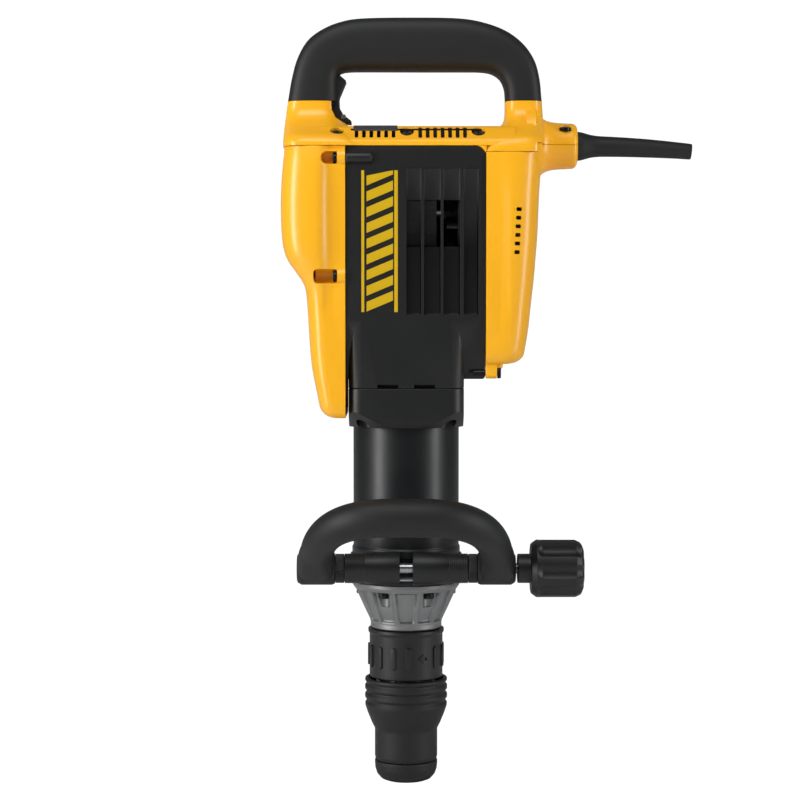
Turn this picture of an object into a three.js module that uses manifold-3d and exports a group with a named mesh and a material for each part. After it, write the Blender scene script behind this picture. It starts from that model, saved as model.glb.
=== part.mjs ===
// An electric demolition hammer of the 10 kg class, standing nose down.
//
// The impact axis is Z. X runs across the body from the front cover to the cord, and Y runs from the
// face with the louvres (-Y) to the face behind it (+Y). The origin is on the impact axis, at the end of
// the nose. Millimetres throughout.
//
// A universal motor lies across the top of the housing. Two spur stages turn it down to a crank below it.
// The crank's connecting rod drives a piston, which throws a ram at the beat piece through an air cushion,
// and the beat piece strikes the chisel held in the tool holder.
import * as THREE from "three";
import { mergeVertices } from "three/addons/utils/BufferGeometryUtils.js";
import Module from "manifold-3d";

const wasm = await Module();
wasm.setup();

// ---------- driving dimensions ----------

const GAP = 0.3; // between faces that touch in the real tool
const RUN = 0.3; // radial running clearance
const WALL = 2.8; // moulded covers

// stations up the impact axis
const NOSE_CAP_TOP = 16.5;
const SLEEVE_TOP = 84.5;
const COLLAR_TOP = 125.5;
const CONE_TOP = 164.5;
const GROOVE_LOW = 168;
const GROOVE_HIGH = 187;
const FLANGE_LOW = 291.6;
const HOUSING_LOW = 323.4;
const PANEL_LOW = 330.5;
const COVER_LOW = 299.6;
const REAR_COVER_LOW = 342.5;
const HOUSING_TOP = 514.9;
const REAR_SPLIT = 510.2; // where the rear cover meets the handle base
const REAR_STEP = 103.6; // beyond this X they meet at the cord boss's height instead
const BOSS_Z = 517.8; // axis of the cord boss, which is split there
const LEDGE_TOP = 531.7;
const LEG_TOP = 553;

// the housing and its covers
const HOUSING_LEFT = -48;
const HOUSING_RIGHT = 62.8;
const HOUSING_DEPTH = 50; // half of the size along Y
const COVER_DEPTH = 58; // half of the size along Y
const COVER_CORNER = 19;
const REAR_CORNER = 15;
const NECK_HALF = 46; // half of the neck's size along X
const NECK_CORNER = 11;

// barrel and hammer mechanism
const BARREL_R = 43;
const SPIGOT_R = 40; // the barrel's upper end, inside the housing
const SPIGOT_TOP = 343;
const GROOVE_R = 40; // floor of the groove that the side handle's band runs in
const BEAD_R = 44;
const BEAD_HEIGHT = 5.5;
const CYLINDER_BORE_R = 29.3;
const CYLINDER_WALL = 4.7;
const CYLINDER_LOW = 212;
const CYLINDER_TOP = 357;
const TOOL_BORE_R = 9.2; // for an 18 mm shank
const HOLDER_R = 21;
const HOLDER_LOW = 3;
const HOLDER_TOP = 178;
const SHOULDER = 112; // end of the tool bore, where the beat piece's chamber starts
const BEAT_R = 14.8;
const BEAT_STEM_R = 11;
const BEAT_STEM_LOW = 172;
const BEAT_TRAVEL = 8;

// motor and gears
const MOTOR_Z = 465;
const SHAFT_R = 6;
const STATOR_R = 43.5;
const STATOR_BORE_R = 27.2;
const ROTOR_R = 26.5;
const FAN_R = 42;
const MOTOR_CHAMBER_R = 44.5;
const MODULE_1 = 1.25;
const MODULE_2 = 1.75;
const PINION_TEETH = 9;
const WHEEL_TEETH = 40;
const SECOND_PINION_TEETH = 18;
const CRANK_TEETH = 38;
const STAGE_1 = [78.5, 86.5]; // along X
const STAGE_2 = [66.5, 76.5];

// crank
const CRANK_THROW = 14;
const ROD_LENGTH = 58;
const ROD_HALF = 6.5; // half of the rod's thickness
const CRANK_PIN_R = 8;
const WRIST_PIN_R = 5;
const CRANK_DISC_R = 24;
const CRANK_BEARING_R = 25.7;
const CRANK_SHAFT_R = 12;
const AIR_CUSHION = 12;
const RAM_LENGTH = 48;
const PISTON_ABOVE_PIN = 14;
const PISTON_BELOW_PIN = 26;

// rear handle
const LEG_DEPTH = 19; // half of the grip's size along Y
const GRIP_WALL = 3.2;
const TRIGGER_HALF = 10.5;
const BOSS_R = 18.2;
const BOSS_END = 138.3;
const BOOT_END = 231;
const BOOT_DROOP = 4.4;
const CORD_BORE_R = 4.4;

// side handle
const BOLT_Y = -59;
const BOLT_Z = 181.4;
const BOLT_R = 4;
const CLAMP_SLEEVE_R = 12.3;
const CLAMP_GAP = 5.1; // half of the gap between the two halves at the bolt
const CLAMP_END = 48.8;
const BAND_WALL = 5.5;
const SERRATION = 7; // thickness of the toothed washers
const LOOP_REACH = 87; // bolt axis to the middle of the grip
const LOOP_TILT = 33; // degrees above the horizontal
const EYE_END = 83;
const EYE_BOSS_END = 86.4;
const KNOB_START = 87.8;
const KNOB_END = 139.8;
const KNOB_R = 22.8;
const KNOB_NECK_R = 11.6;
const KNOB_NECK = 10.4;

// what follows from them
const WHEEL_Z = MOTOR_Z - (MODULE_1 * (PINION_TEETH + WHEEL_TEETH)) / 2;
const CRANK_Z = WHEEL_Z - (MODULE_2 * (SECOND_PINION_TEETH + CRANK_TEETH)) / 2;
const WRIST_Z = CRANK_Z + CRANK_THROW - ROD_LENGTH; // crank pin up, piston at the top of its stroke
const STROKE = 2 * CRANK_THROW;
const PISTON_LOW = WRIST_Z - PISTON_BELOW_PIN;
const RAM_TOP = PISTON_LOW - AIR_CUSHION;
const BEAT_TOP = RAM_TOP - RAM_LENGTH - STROKE - BEAT_TRAVEL - 0.5;

// ---------- colours ----------

const finish = (color, roughness, metalness = 0) =>
  new THREE.MeshStandardMaterial({ color, roughness, metalness });
const YELLOW = finish(0xf4ac16, 0.35);
const BLACK = finish(0x222426, 0.5);
const RUBBER = finish(0x1b1c1e, 0.75);
const BLACK_METAL = finish(0x2a2d31, 0.4, 0.6);
const CAST = finish(0x9b9c9c, 0.5, 0.8);
const STEEL = finish(0xb4b6b8, 0.3, 1);
const COPPER = finish(0xb87333, 0.35, 1);
const LAMINATION = finish(0x6f7276, 0.5, 0.9);
const CARBON = finish(0x2c2c2e, 0.8);
const BOARD = finish(0x1f4a33, 0.6);
const NYLON = finish(0x3a3c3f, 0.6);

// ---------- solids ----------

// A closed geometry as a manifold-3d solid.
function solidOf(geometry) {
  const bare = geometry.index ? geometry.toNonIndexed() : geometry.clone();
  bare.deleteAttribute("normal");
  bare.deleteAttribute("uv");
  const merged = mergeVertices(bare, 1e-4);
  const vertProperties = new Float32Array(merged.attributes.position.array);
  const triVerts = new Uint32Array(merged.index.array);
  const made = new wasm.Manifold(new wasm.Mesh({ numProp: 3, vertProperties, triVerts }));
  if (made.volume() >= 0) return made;
  for (let i = 0; i < triVerts.length; i += 3) {
    [triVerts[i + 1], triVerts[i + 2]] = [triVerts[i + 2], triVerts[i + 1]];
  }
  return new wasm.Manifold(new wasm.Mesh({ numProp: 3, vertProperties, triVerts }));
}

function geometryOf(solid) {
  const mesh = solid.getMesh();
  const points = new Float32Array(mesh.numVert * 3);
  for (let i = 0; i < mesh.numVert; i += 1) {
    points.set(mesh.vertProperties.subarray(i * mesh.numProp, i * mesh.numProp + 3), i * 3);
  }
  const geometry = new THREE.BufferGeometry();
  geometry.setAttribute("position", new THREE.BufferAttribute(points, 3));
  geometry.setIndex(new THREE.BufferAttribute(new Uint32Array(mesh.triVerts), 1));
  const flat = geometry.toNonIndexed();
  flat.computeVertexNormals();
  return flat;
}

const join = (first, ...rest) => rest.reduce((sum, one) => sum.add(one), first);
const cut = (first, ...rest) => rest.reduce((left, one) => left.subtract(one), first);

// Axes: a shape's first coordinate, second coordinate and depth, each onto X, Y or Z.
const TURN = {
  x: new THREE.Matrix4().set(0, 0, 1, 0, 1, 0, 0, 0, 0, 1, 0, 0, 0, 0, 0, 1), // (y, z) along X
  y: new THREE.Matrix4().set(1, 0, 0, 0, 0, 0, -1, 0, 0, 1, 0, 0, 0, 0, 0, 1), // (x, z) along -Y
  z: new THREE.Matrix4(), // (x, y) along Z
};

// A flat shape carried along an axis from low to high.
function extrude(axis, shape, low, high, curveSegments = 4) {
  const geometry = new THREE.ExtrudeGeometry(shape, {
    depth: high - low,
    bevelEnabled: false,
    curveSegments,
  });
  geometry.translate(0, 0, axis === "y" ? -high : low);
  geometry.applyMatrix4(TURN[axis]);
  return solidOf(geometry);
}

// A profile of [radius, height] pairs turned round an axis; it starts and ends on the axis or closes.
function turn(axis, profile, sides = 24, first = 0, second = 0) {
  const points = profile.map(([r, h]) => new THREE.Vector2(r, h));
  const geometry = new THREE.LatheGeometry(points, sides);
  geometry.rotateX(Math.PI / 2);
  geometry.applyMatrix4(axis === "y" ? new THREE.Matrix4().makeRotationX(Math.PI / 2) : TURN[axis]);
  const place = { x: [0, first, second], y: [first, 0, second], z: [first, second, 0] }[axis];
  geometry.translate(...place);
  return solidOf(geometry);
}

// The profile of a plain bar or, with an inner radius, of a ring.
function bar(r, low, high, inner = 0) {
  if (!inner) return [[0, low], [r, low], [r, high], [0, high]];
  return [[inner, low], [r, low], [r, high], [inner, high], [inner, low]];
}

const rod = (axis, r, low, high, first = 0, second = 0, sides = 16) =>
  turn(axis, bar(r, low, high), sides, first, second);
const ring = (axis, r, inner, low, high, first = 0, second = 0, sides = 20) =>
  turn(axis, bar(r, low, high, inner), sides, first, second);

function box(x, y, z) {
  const geometry = new THREE.BoxGeometry(x[1] - x[0], y[1] - y[0], z[1] - z[0]);
  geometry.translate((x[0] + x[1]) / 2, (y[0] + y[1]) / 2, (z[0] + z[1]) / 2);
  return solidOf(geometry);
}

// A polygon of [a, b, corner radius], with each corner rounded.
function outline(corners) {
  const shape = new THREE.Shape();
  corners.forEach(([a, b, radius = 0], i) => {
    const here = new THREE.Vector2(a, b);
    const before = new THREE.Vector2(...corners.at(i - 1).slice(0, 2)).sub(here);
    const after = new THREE.Vector2(...corners[(i + 1) % corners.length].slice(0, 2)).sub(here);
    const half = before.angleTo(after) / 2;
    const back = radius ? Math.min(radius / Math.tan(half), before.length() / 2, after.length() / 2) : 0;
    const start = before.setLength(back).add(here);
    const end = after.setLength(back).add(here);
    if (i) shape.lineTo(start.x, start.y);
    else shape.moveTo(start.x, start.y);
    if (back) shape.quadraticCurveTo(a, b, end.x, end.y);
  });
  shape.closePath();
  return shape;
}

const rectangle = (a, b, radius = 0) =>
  outline([[a[0], b[0], radius], [a[1], b[0], radius], [a[1], b[1], radius], [a[0], b[1], radius]]);

// Loops of points, all with the same count, skinned into one closed body.
function skin(loops) {
  const count = loops[0].length;
  const points = loops.flat();
  const faces = [];
  for (let level = 0; level + 1 < loops.length; level += 1) {
    for (let i = 0; i < count; i += 1) {
      const a = level * count + i;
      const b = level * count + ((i + 1) % count);
      faces.push(a, b, b + count, a, b + count, a + count);
    }
  }
  const ends = [[0, 1], [(loops.length - 1) * count, -1]];
  ends.forEach(([start, side], which) => {
    const middle = new THREE.Vector3();
    loops[which ? loops.length - 1 : 0].forEach((p) => middle.addScaledVector(p, 1 / count));
    points.push(middle);
    for (let i = 0; i < count; i += 1) {
      const pair = [start + ((i + 1) % count), start + i];
      if (side < 0) pair.reverse();
      faces.push(points.length - 1, ...pair);
    }
  });
  const geometry = new THREE.BufferGeometry().setFromPoints(points);
  geometry.setIndex(faces);
  return solidOf(geometry);
}

// A smooth value between [station, value] pairs.
function graph(pairs) {
  const curve = new THREE.SplineCurve(pairs.map(([s, v]) => new THREE.Vector2(s, v)));
  const fine = curve.getPoints(pairs.length * 12);
  return (station) => {
    const next = fine.findIndex((p) => p.x >= station);
    if (next <= 0) return next === 0 ? fine[0].y : fine.at(-1).y;
    const low = fine[next - 1];
    return THREE.MathUtils.mapLinear(station, low.x, fine[next].x, low.y, fine[next].y);
  };
}

const group = new THREE.Group();
group.name = "demolition_hammer";

function add(name, solid, look) {
  const mesh = new THREE.Mesh(geometryOf(solid), look);
  mesh.name = name;
  group.add(mesh);
  return solid;
}

// A rectangle with rounded corners at one height: one radius at the low-X side and one at the high-X side.
function plan(z, x, half, radiusLow, radiusHigh, steps = 3) {
  const loop = [];
  const corners = [[x[1], 1, 0, radiusHigh], [x[0], 1, 1, radiusLow], [x[0], -1, 2, radiusLow],
    [x[1], -1, 3, radiusHigh]];
  corners.forEach(([edge, side, quarter, radius]) => {
    const inward = edge === x[0] ? 1 : -1;
    for (let i = 0; i <= steps; i += 1) {
      const angle = ((quarter + i / steps) * Math.PI) / 2;
      const dx = radius * Math.cos(angle);
      const dy = radius * Math.sin(angle);
      loop.push(new THREE.Vector3(edge + inward * radius + dx, side * (half - radius) + dy, z));
    }
  });
  return loop;
}

// A circle of points round a centre, square to a direction that lies in a plane with the given normal.
function hoop(centre, direction, normal, radius, sides = 16, squash = 1) {
  const across = new THREE.Vector3().crossVectors(direction, normal).normalize();
  const loop = [];
  for (let i = 0; i < sides; i += 1) {
    const angle = (i / sides) * 2 * Math.PI;
    const point = centre.clone().addScaledVector(across, radius * Math.cos(angle));
    loop.push(point.addScaledVector(normal, radius * squash * Math.sin(angle)));
  }
  return loop;
}

// ---------- gears ----------

// One spur gear's outline, with a tooth centred on the given angle. Flanks are involutes.
function gearShape(teeth, module, phase) {
  const pitch = (module * teeth) / 2;
  const base = pitch * Math.cos(THREE.MathUtils.degToRad(20));
  const tip = pitch + 0.85 * module;
  const root = pitch - 1.2 * module;
  const involute = (r) => (r <= base ? 0 : Math.sqrt((r / base) ** 2 - 1) - Math.acos(base / r));
  const half = Math.PI / (2 * teeth) - 0.09 / teeth + involute(pitch);
  const radii = teeth > 30 ? [root, tip] : [root, pitch, tip];
  const points = [];
  for (let i = 0; i < teeth; i += 1) {
    const middle = phase + (i / teeth) * 2 * Math.PI;
    const flank = radii.map((r) => [r, half - involute(r)]);
    flank.forEach(([r, a]) => points.push([r, middle - a]));
    flank.reverse().forEach(([r, a]) => points.push([r, middle + a]));
  }
  return new THREE.Shape(points.map(([r, a]) => new THREE.Vector2(r * Math.cos(a), r * Math.sin(a))));
}

const gear = (teeth, module, phase, along, z) =>
  extrude("x", gearShape(teeth, module, phase), along[0], along[1]).translate(0, 0, z);

// ---------- motor ----------

const DOWN = -Math.PI / 2;
const shaftEnd = -84;
add("armature_shaft", join(
  rod("x", SHAFT_R, shaftEnd, STAGE_1[0] - 0.5, 0, MOTOR_Z),
  gear(PINION_TEETH, MODULE_1, DOWN, [STAGE_1[0] - 1, STAGE_1[1]], MOTOR_Z),
), STEEL);
const core = extrude("x", rotorShape(), -32, 24).translate(0, 0, MOTOR_Z);
add("armature_core", cut(core, rod("x", SHAFT_R + RUN, -40, 30, 0, MOTOR_Z)), LAMINATION);
add("commutator", ring("x", 16, SHAFT_R + RUN, -60, -44, 0, MOTOR_Z), COPPER);

function rotorShape() {
  const points = [];
  const slots = 14;
  for (let i = 0; i < slots; i += 1) {
    const middle = (i / slots) * 2 * Math.PI;
    [[-0.19, ROTOR_R], [0, ROTOR_R], [0.19, ROTOR_R], [0.19, ROTOR_R - 7], [0.25, ROTOR_R - 7]]
      .forEach(([a, r]) => points.push(new THREE.Vector2(r * Math.cos(middle + a),
      r * Math.sin(middle + a))));
  }
  return new THREE.Shape(points);
}

const statorShell = ring("x", MOTOR_CHAMBER_R - GAP, STATOR_R - 8, -32, 24, 0, MOTOR_Z, 28);
const poles = [1, -1].map((side) => box([-32, 24], side > 0 ? [22, 38] : [-38, -22], [MOTOR_Z - 17,
  MOTOR_Z + 17]));
add("motor_stator", cut(join(statorShell, ...poles), rod("x", STATOR_BORE_R, -40, 30, 0, MOTOR_Z, 28)),
  LAMINATION);

const fanDisc = ring("x", FAN_R, SHAFT_R + RUN, 41, 43, 0, MOTOR_Z, 24);
const fanHub = ring("x", 11, SHAFT_R + RUN, 30, 43, 0, MOTOR_Z, 12);
const blades = [...Array(9).keys()].map((i) =>
  box([32, 42], [15, FAN_R - 1], [-0.9, 0.9]).rotate(i * 40, 0, 0).translate(0, 0, MOTOR_Z));
const bladeRoot = ring("x", 17, SHAFT_R + RUN, 38, 43, 0, MOTOR_Z, 12);
add("cooling_fan", join(fanDisc, fanHub, bladeRoot, ...blades), NYLON);

const BEARING_RIGHT = [48.3, 59.7];
const BEARING_RIGHT_R = 14;
const BEARING_LEFT = [-84, -76];
const BEARING_LEFT_R = 11;
add("motor_bearing_right", ring("x", BEARING_RIGHT_R, SHAFT_R + RUN, ...BEARING_RIGHT, 0, MOTOR_Z), STEEL);
add("motor_bearing_left", ring("x", BEARING_LEFT_R, SHAFT_R + RUN, ...BEARING_LEFT, 0, MOTOR_Z), STEEL);

const BRUSH = { x: [-57.5, -50], half: 6, inner: 16.3, outer: 34 };
const brush = (side) => {
  const y = [BRUSH.inner * side, BRUSH.outer * side].sort((a, b) => a - b);
  return box(BRUSH.x, y, [MOTOR_Z - BRUSH.half, MOTOR_Z + BRUSH.half]);
};
add("carbon_brush_front", brush(-1), CARBON);
add("carbon_brush_back", brush(1), CARBON);
const tunnel = box(
  [BRUSH.x[0] - GAP, BRUSH.x[1] + GAP],
  [-BRUSH.outer - GAP, BRUSH.outer + GAP],
  [MOTOR_Z - BRUSH.half - GAP, MOTOR_Z + BRUSH.half + GAP],
);
const holderRing = ring("x", MOTOR_CHAMBER_R + 1.2, 20, -59.5, HOUSING_LEFT - GAP, 0, MOTOR_Z, 28);
add("brush_holder", cut(holderRing, tunnel), NYLON);

// ---------- gears and crank ----------

const INTERMEDIATE = [50.3, 90.2]; // the shaft, along X
add("intermediate_gear", join(
  rod("x", 6, ...INTERMEDIATE, 0, WHEEL_Z),
  gear(SECOND_PINION_TEETH, MODULE_2, DOWN, STAGE_2, WHEEL_Z),
  gear(WHEEL_TEETH, MODULE_1, -DOWN + Math.PI / WHEEL_TEETH, STAGE_1, WHEEL_Z),
  rod("x", 11, STAGE_2[1] - 0.5, STAGE_1[0] + 0.5, 0, WHEEL_Z),
), STEEL);
add("crank_gear", cut(
  gear(CRANK_TEETH, MODULE_2, -DOWN + Math.PI / CRANK_TEETH, STAGE_2, CRANK_Z),
  rod("x", CRANK_SHAFT_R + RUN, 60, 80, 0, CRANK_Z),
), STEEL);

const DISC = [8, 18];
add("crankshaft", join(
  rod("x", CRANK_DISC_R, ...DISC, 0, CRANK_Z, 24),
  rod("x", CRANK_SHAFT_R, DISC[1] - 0.5, 79, 0, CRANK_Z),
), STEEL);
const CRANK_BEARING_IN = [20.3, 33.7];
const CRANK_BEARING_OUT = [49.3, 60.7];
const CRANK_BEARING_OUT_R = 20;
add("crank_bearing_inner",
  ring("x", CRANK_BEARING_R, CRANK_SHAFT_R + RUN, ...CRANK_BEARING_IN, 0, CRANK_Z), STEEL);
add("crank_bearing_outer",
  ring("x", CRANK_BEARING_OUT_R, CRANK_SHAFT_R + RUN, ...CRANK_BEARING_OUT, 0, CRANK_Z), STEEL);

const PIN_Z = CRANK_Z + CRANK_THROW;
const BIG_END_R = 13;
const SMALL_END_R = 9;
const shank = outline([[-7, WRIST_Z], [7, WRIST_Z], [8, PIN_Z], [-8, PIN_Z]]);
add("connecting_rod", cut(
  join(
    rod("x", BIG_END_R, -ROD_HALF, ROD_HALF, 0, PIN_Z),
    rod("x", SMALL_END_R, -ROD_HALF, ROD_HALF, 0, WRIST_Z),
    extrude("x", shank, -ROD_HALF, ROD_HALF),
  ),
  rod("x", CRANK_PIN_R + RUN, -9, 9, 0, PIN_Z),
  rod("x", WRIST_PIN_R + RUN, -9, 9, 0, WRIST_Z),
), STEEL);
add("crank_pin", rod("x", CRANK_PIN_R, -ROD_HALF, DISC[0] - 0.5, 0, PIN_Z), STEEL);
add("wrist_pin", rod("x", WRIST_PIN_R, -22, 22, 0, WRIST_Z), STEEL);

const PISTON_R = CYLINDER_BORE_R - RUN;
const PISTON_TOP = WRIST_Z + PISTON_ABOVE_PIN;
add("piston", cut(
  rod("z", PISTON_R, PISTON_LOW, PISTON_TOP, 0, 0, 28),
  box([-ROD_HALF - 0.5, ROD_HALF + 0.5], [-12.5, 12.5], [WRIST_Z - SMALL_END_R - 0.8, PISTON_TOP + 1]),
  rod("x", WRIST_PIN_R + RUN, -31, 31, 0, WRIST_Z),
  ring("z", PISTON_R + 1, PISTON_R - 1.6, PISTON_LOW + 6, PISTON_LOW + 9, 0, 0, 28),
), STEEL);
add("ram", cut(
  rod("z", PISTON_R, RAM_TOP - RAM_LENGTH, RAM_TOP, 0, 0, 28),
  ring("z", PISTON_R + 1, PISTON_R - 1.6, RAM_TOP - 12, RAM_TOP - 9, 0, 0, 28),
), STEEL);
const CYLINDER_R = CYLINDER_BORE_R + CYLINDER_WALL;
add("cylinder_sleeve", ring("z", CYLINDER_R, CYLINDER_BORE_R, CYLINDER_LOW, CYLINDER_TOP, 0, 0, 28),
  STEEL);

// ---------- nose: tool holder, release sleeve, index collar ----------

const CHAMBER_R = BEAT_R + RUN;
const NOSE_R = 14;
const ROLLER_R = 3.5;
const ROLLER_Z = [46, 68];
const ROLLER_SEAT = TOOL_BORE_R + ROLLER_R - 2.2; // rollers reach 2.2 mm into the tool's bore
const LUG_Z = [58, 67.7];
const LUG_HALF = 3.4;
const SLEEVE_TRAVEL = 8;
const windows = [1, -1].map((side) => {
  const y = [0, side * (HOLDER_R + 2)].sort((a, b) => a - b);
  return box([-ROLLER_R - GAP, ROLLER_R + GAP], y, [ROLLER_Z[0] - GAP, LUG_Z[1] + SLEEVE_TRAVEL + 0.5]);
});
const holderProfile = [
  [TOOL_BORE_R, HOLDER_LOW], [NOSE_R, HOLDER_LOW], [NOSE_R, NOSE_CAP_TOP + 0.5], [HOLDER_R,
  NOSE_CAP_TOP + 0.5],
  [HOLDER_R, HOLDER_TOP], [CHAMBER_R, HOLDER_TOP], [CHAMBER_R, SHOULDER], [TOOL_BORE_R, SHOULDER],
  [TOOL_BORE_R, HOLDER_LOW],
];
add("tool_holder", cut(turn("z", holderProfile, 28), ...windows), STEEL);
[["lock_roller_front", -1], ["lock_roller_back", 1]].forEach(([name, side]) => {
  add(name, rod("z", ROLLER_R, ...ROLLER_Z, 0, side * ROLLER_SEAT, 20), STEEL);
});

const BEAT_LOW = SHOULDER + 0.3;
add("beat_piece", turn("z", [
  [0, BEAT_LOW], [TOOL_BORE_R - RUN, BEAT_LOW], [BEAT_R, BEAT_LOW + 6], [BEAT_R, BEAT_STEM_LOW],
  [BEAT_STEM_R, BEAT_STEM_LOW], [BEAT_STEM_R, BEAT_TOP], [0, BEAT_TOP],
], 32), STEEL);

const CAP_R = 25.6;
const holderGap = HOLDER_R + RUN;
add("dust_cap", turn("z", [
  [TOOL_BORE_R + 0.8, 0], [17, 0], [20.6, 1.6], [23.6, 5], [25.2, 9.6], [CAP_R, 14], [CAP_R, NOSE_CAP_TOP],
  [NOSE_R + RUN, NOSE_CAP_TOP], [NOSE_R + RUN, HOLDER_LOW - GAP], [TOOL_BORE_R + 0.8, HOLDER_LOW - GAP],
  [TOOL_BORE_R + 0.8, 0],
], 28), RUBBER);

const SPRING_FLOOR = 70;
const COLLAR_LOW = 87;
const COLLAR_R = 29.9;
const SPRING_OUT = 27;
const sleeveProfile = [
  [holderGap, NOSE_CAP_TOP + GAP], [CAP_R + 0.4, NOSE_CAP_TOP + GAP], [CAP_R, 20], [CAP_R, 43], [28.4,
  47.5],
  [31.4, 55.5], [33.5, 61], [33.5, 64], [32.2, 66.4], [33.7, 68.6], [33.7, 71], [32.2, 73.4], [33.7, 75.6],
  [33.7, 78], [32.4, 80.4], [33.7, 82.4], [33.4, SLEEVE_TOP], [COLLAR_R + 2 * RUN, SLEEVE_TOP],
  [COLLAR_R + 2 * RUN, 77], [SPRING_OUT, 77], [SPRING_OUT, SPRING_FLOOR], [holderGap, SPRING_FLOOR],
  [holderGap, NOSE_CAP_TOP + GAP],
];
// The lugs reach through the holder's windows and keep the rollers in until the sleeve is drawn up.
const LUG_R = ROLLER_SEAT + ROLLER_R + RUN;
const camSlope = 0.45;
const camLow = LUG_Z[0] - 1;
const cam = turn("z", [
  [0, camLow], [LUG_R + camSlope * (LUG_Z[1] - camLow), camLow], [LUG_R, LUG_Z[1]], [LUG_R, LUG_Z[1] + 3],
  [0, LUG_Z[1] + 3],
], 32);
const lugs = [1, -1].map((side) => {
  const y = [side * (LUG_R - 1), side * (holderGap + 1.5)].sort((a, b) => a - b);
  return box([-LUG_HALF, LUG_HALF], y, LUG_Z);
});
add("release_sleeve", join(turn("z", sleeveProfile, 20), cut(join(...lugs), cam)), RUBBER);

const SPRING_WIRE = 0.9;
const SPRING_MEAN = 24.2;
const coil = [];
const coilTurns = 3.5;
for (let i = 0; i <= coilTurns * 12; i += 1) {
  const angle = (i / 12) * 2 * Math.PI;
  const rise = (i / (coilTurns * 12)) * (COLLAR_LOW - SPRING_FLOOR - 2 * SPRING_WIRE - 2 * GAP);
  const out = new THREE.Vector3(Math.cos(angle), Math.sin(angle), 0);
  const centre = out.clone().multiplyScalar(SPRING_MEAN);
  centre.z = SPRING_FLOOR + GAP + SPRING_WIRE + rise;
  const along = new THREE.Vector3(-Math.sin(angle), Math.cos(angle), 0);
  coil.push(hoop(centre, along, new THREE.Vector3(0, 0, 1), SPRING_WIRE, 5));
}
add("sleeve_spring", skin(coil), STEEL);

const collarProfile = [
  [holderGap, COLLAR_LOW], [COLLAR_R, COLLAR_LOW], [COLLAR_R, 122], [31, 123], [31, COLLAR_TOP],
  [holderGap, COLLAR_TOP], [holderGap, COLLAR_LOW],
];
const collarRibs = [...Array(15).keys()].map((i) =>
  box([-2.2, 2.2], [-COLLAR_R - 1.4, -COLLAR_R + 2], [94.6, 112.5]).rotate(0, 0, 3.6 + 24 * i));
add("index_collar", join(turn("z", collarProfile, 24), ...collarRibs), BLACK);

// ---------- front housing and barrel ----------

const CONE_LOW = COLLAR_TOP + 0.5;
const coneProfile = [
  [holderGap, CONE_LOW], [29, CONE_LOW], [29, 130.5], [30.5, 134], [42, 159], [43.6, 161.5],
  [43.6, CONE_TOP],
  [holderGap, CONE_TOP], [holderGap, CONE_LOW],
];
const conePockets = [...Array(12).keys()].map((i) =>
  box([-6.6, 6.6], [-52, -31.2], [135, 157]).rotate(0, 0, 30 * i));
const boltHoles = [...Array(6).keys()].map((i) =>
  rod("z", 3.4, 155, CONE_TOP + 1, 0, -36.4, 8).rotate(0, 0, 30 + 60 * i));
add("front_housing", cut(turn("z", coneProfile, 24), ...conePockets, ...boltHoles), CAST);

const WEB = [182, 200];
const barrelProfile = [
  [holderGap, CONE_TOP + GAP], [43.6, CONE_TOP + GAP], [43.6, GROOVE_LOW], [GROOVE_R, GROOVE_LOW],
  [GROOVE_R, GROOVE_HIGH], [BEAD_R, GROOVE_HIGH + 0.8], [BEAD_R, GROOVE_HIGH + BEAD_HEIGHT],
  [BARREL_R, GROOVE_HIGH + BEAD_HEIGHT + 1], [BARREL_R, HOUSING_LOW - GAP], [SPIGOT_R, HOUSING_LOW - GAP],
  [SPIGOT_R, SPIGOT_TOP], [CYLINDER_R + GAP, SPIGOT_TOP], [CYLINDER_R + GAP, CYLINDER_LOW - GAP],
  [CYLINDER_BORE_R, CYLINDER_LOW - GAP], [CYLINDER_BORE_R, WEB[1]], [BEAT_STEM_R + RUN, WEB[1]],
  [BEAT_STEM_R + RUN, WEB[0]], [CHAMBER_R, WEB[0]], [CHAMBER_R, HOLDER_TOP + GAP],
  [holderGap, HOLDER_TOP + GAP], [holderGap, CONE_TOP + GAP],
];
const holesAbove = boltHoles.map((hole) => hole.translate(0, 0, 8).trimByPlane([0, 0, -1],
  -(CONE_TOP + 2.8)));
add("barrel", cut(turn("z", barrelProfile, 24), ...holesAbove), BLACK_METAL);

const flangeTop = HOUSING_LOW - GAP;
const flangeBlock = extrude("z", rectangle([-NECK_HALF, NECK_HALF], [-HOUSING_DEPTH, HOUSING_DEPTH],
  NECK_CORNER),
  FLANGE_LOW, flangeTop);
const flangeCone = turn("z", [
  [0, FLANGE_LOW], [HOUSING_DEPTH, FLANGE_LOW], [HOUSING_DEPTH + flangeTop - FLANGE_LOW, flangeTop],
  [0, flangeTop],
], 28);
const NECK_BOLT = [33, 37.5];
const neckScrewHoles = [1, -1].flatMap((a) => [1, -1].map((b) =>
  rod("z", 5.4, FLANGE_LOW - 1, FLANGE_LOW + 13, a * NECK_BOLT[0], b * NECK_BOLT[1], 14)));
add("neck_flange", cut(
  flangeBlock.intersect(flangeCone),
  rod("z", BARREL_R + GAP, FLANGE_LOW - 1, flangeTop + 1, 0, 0, 28),
  ...neckScrewHoles,
), BLACK);

// ---------- main housing ----------

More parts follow.
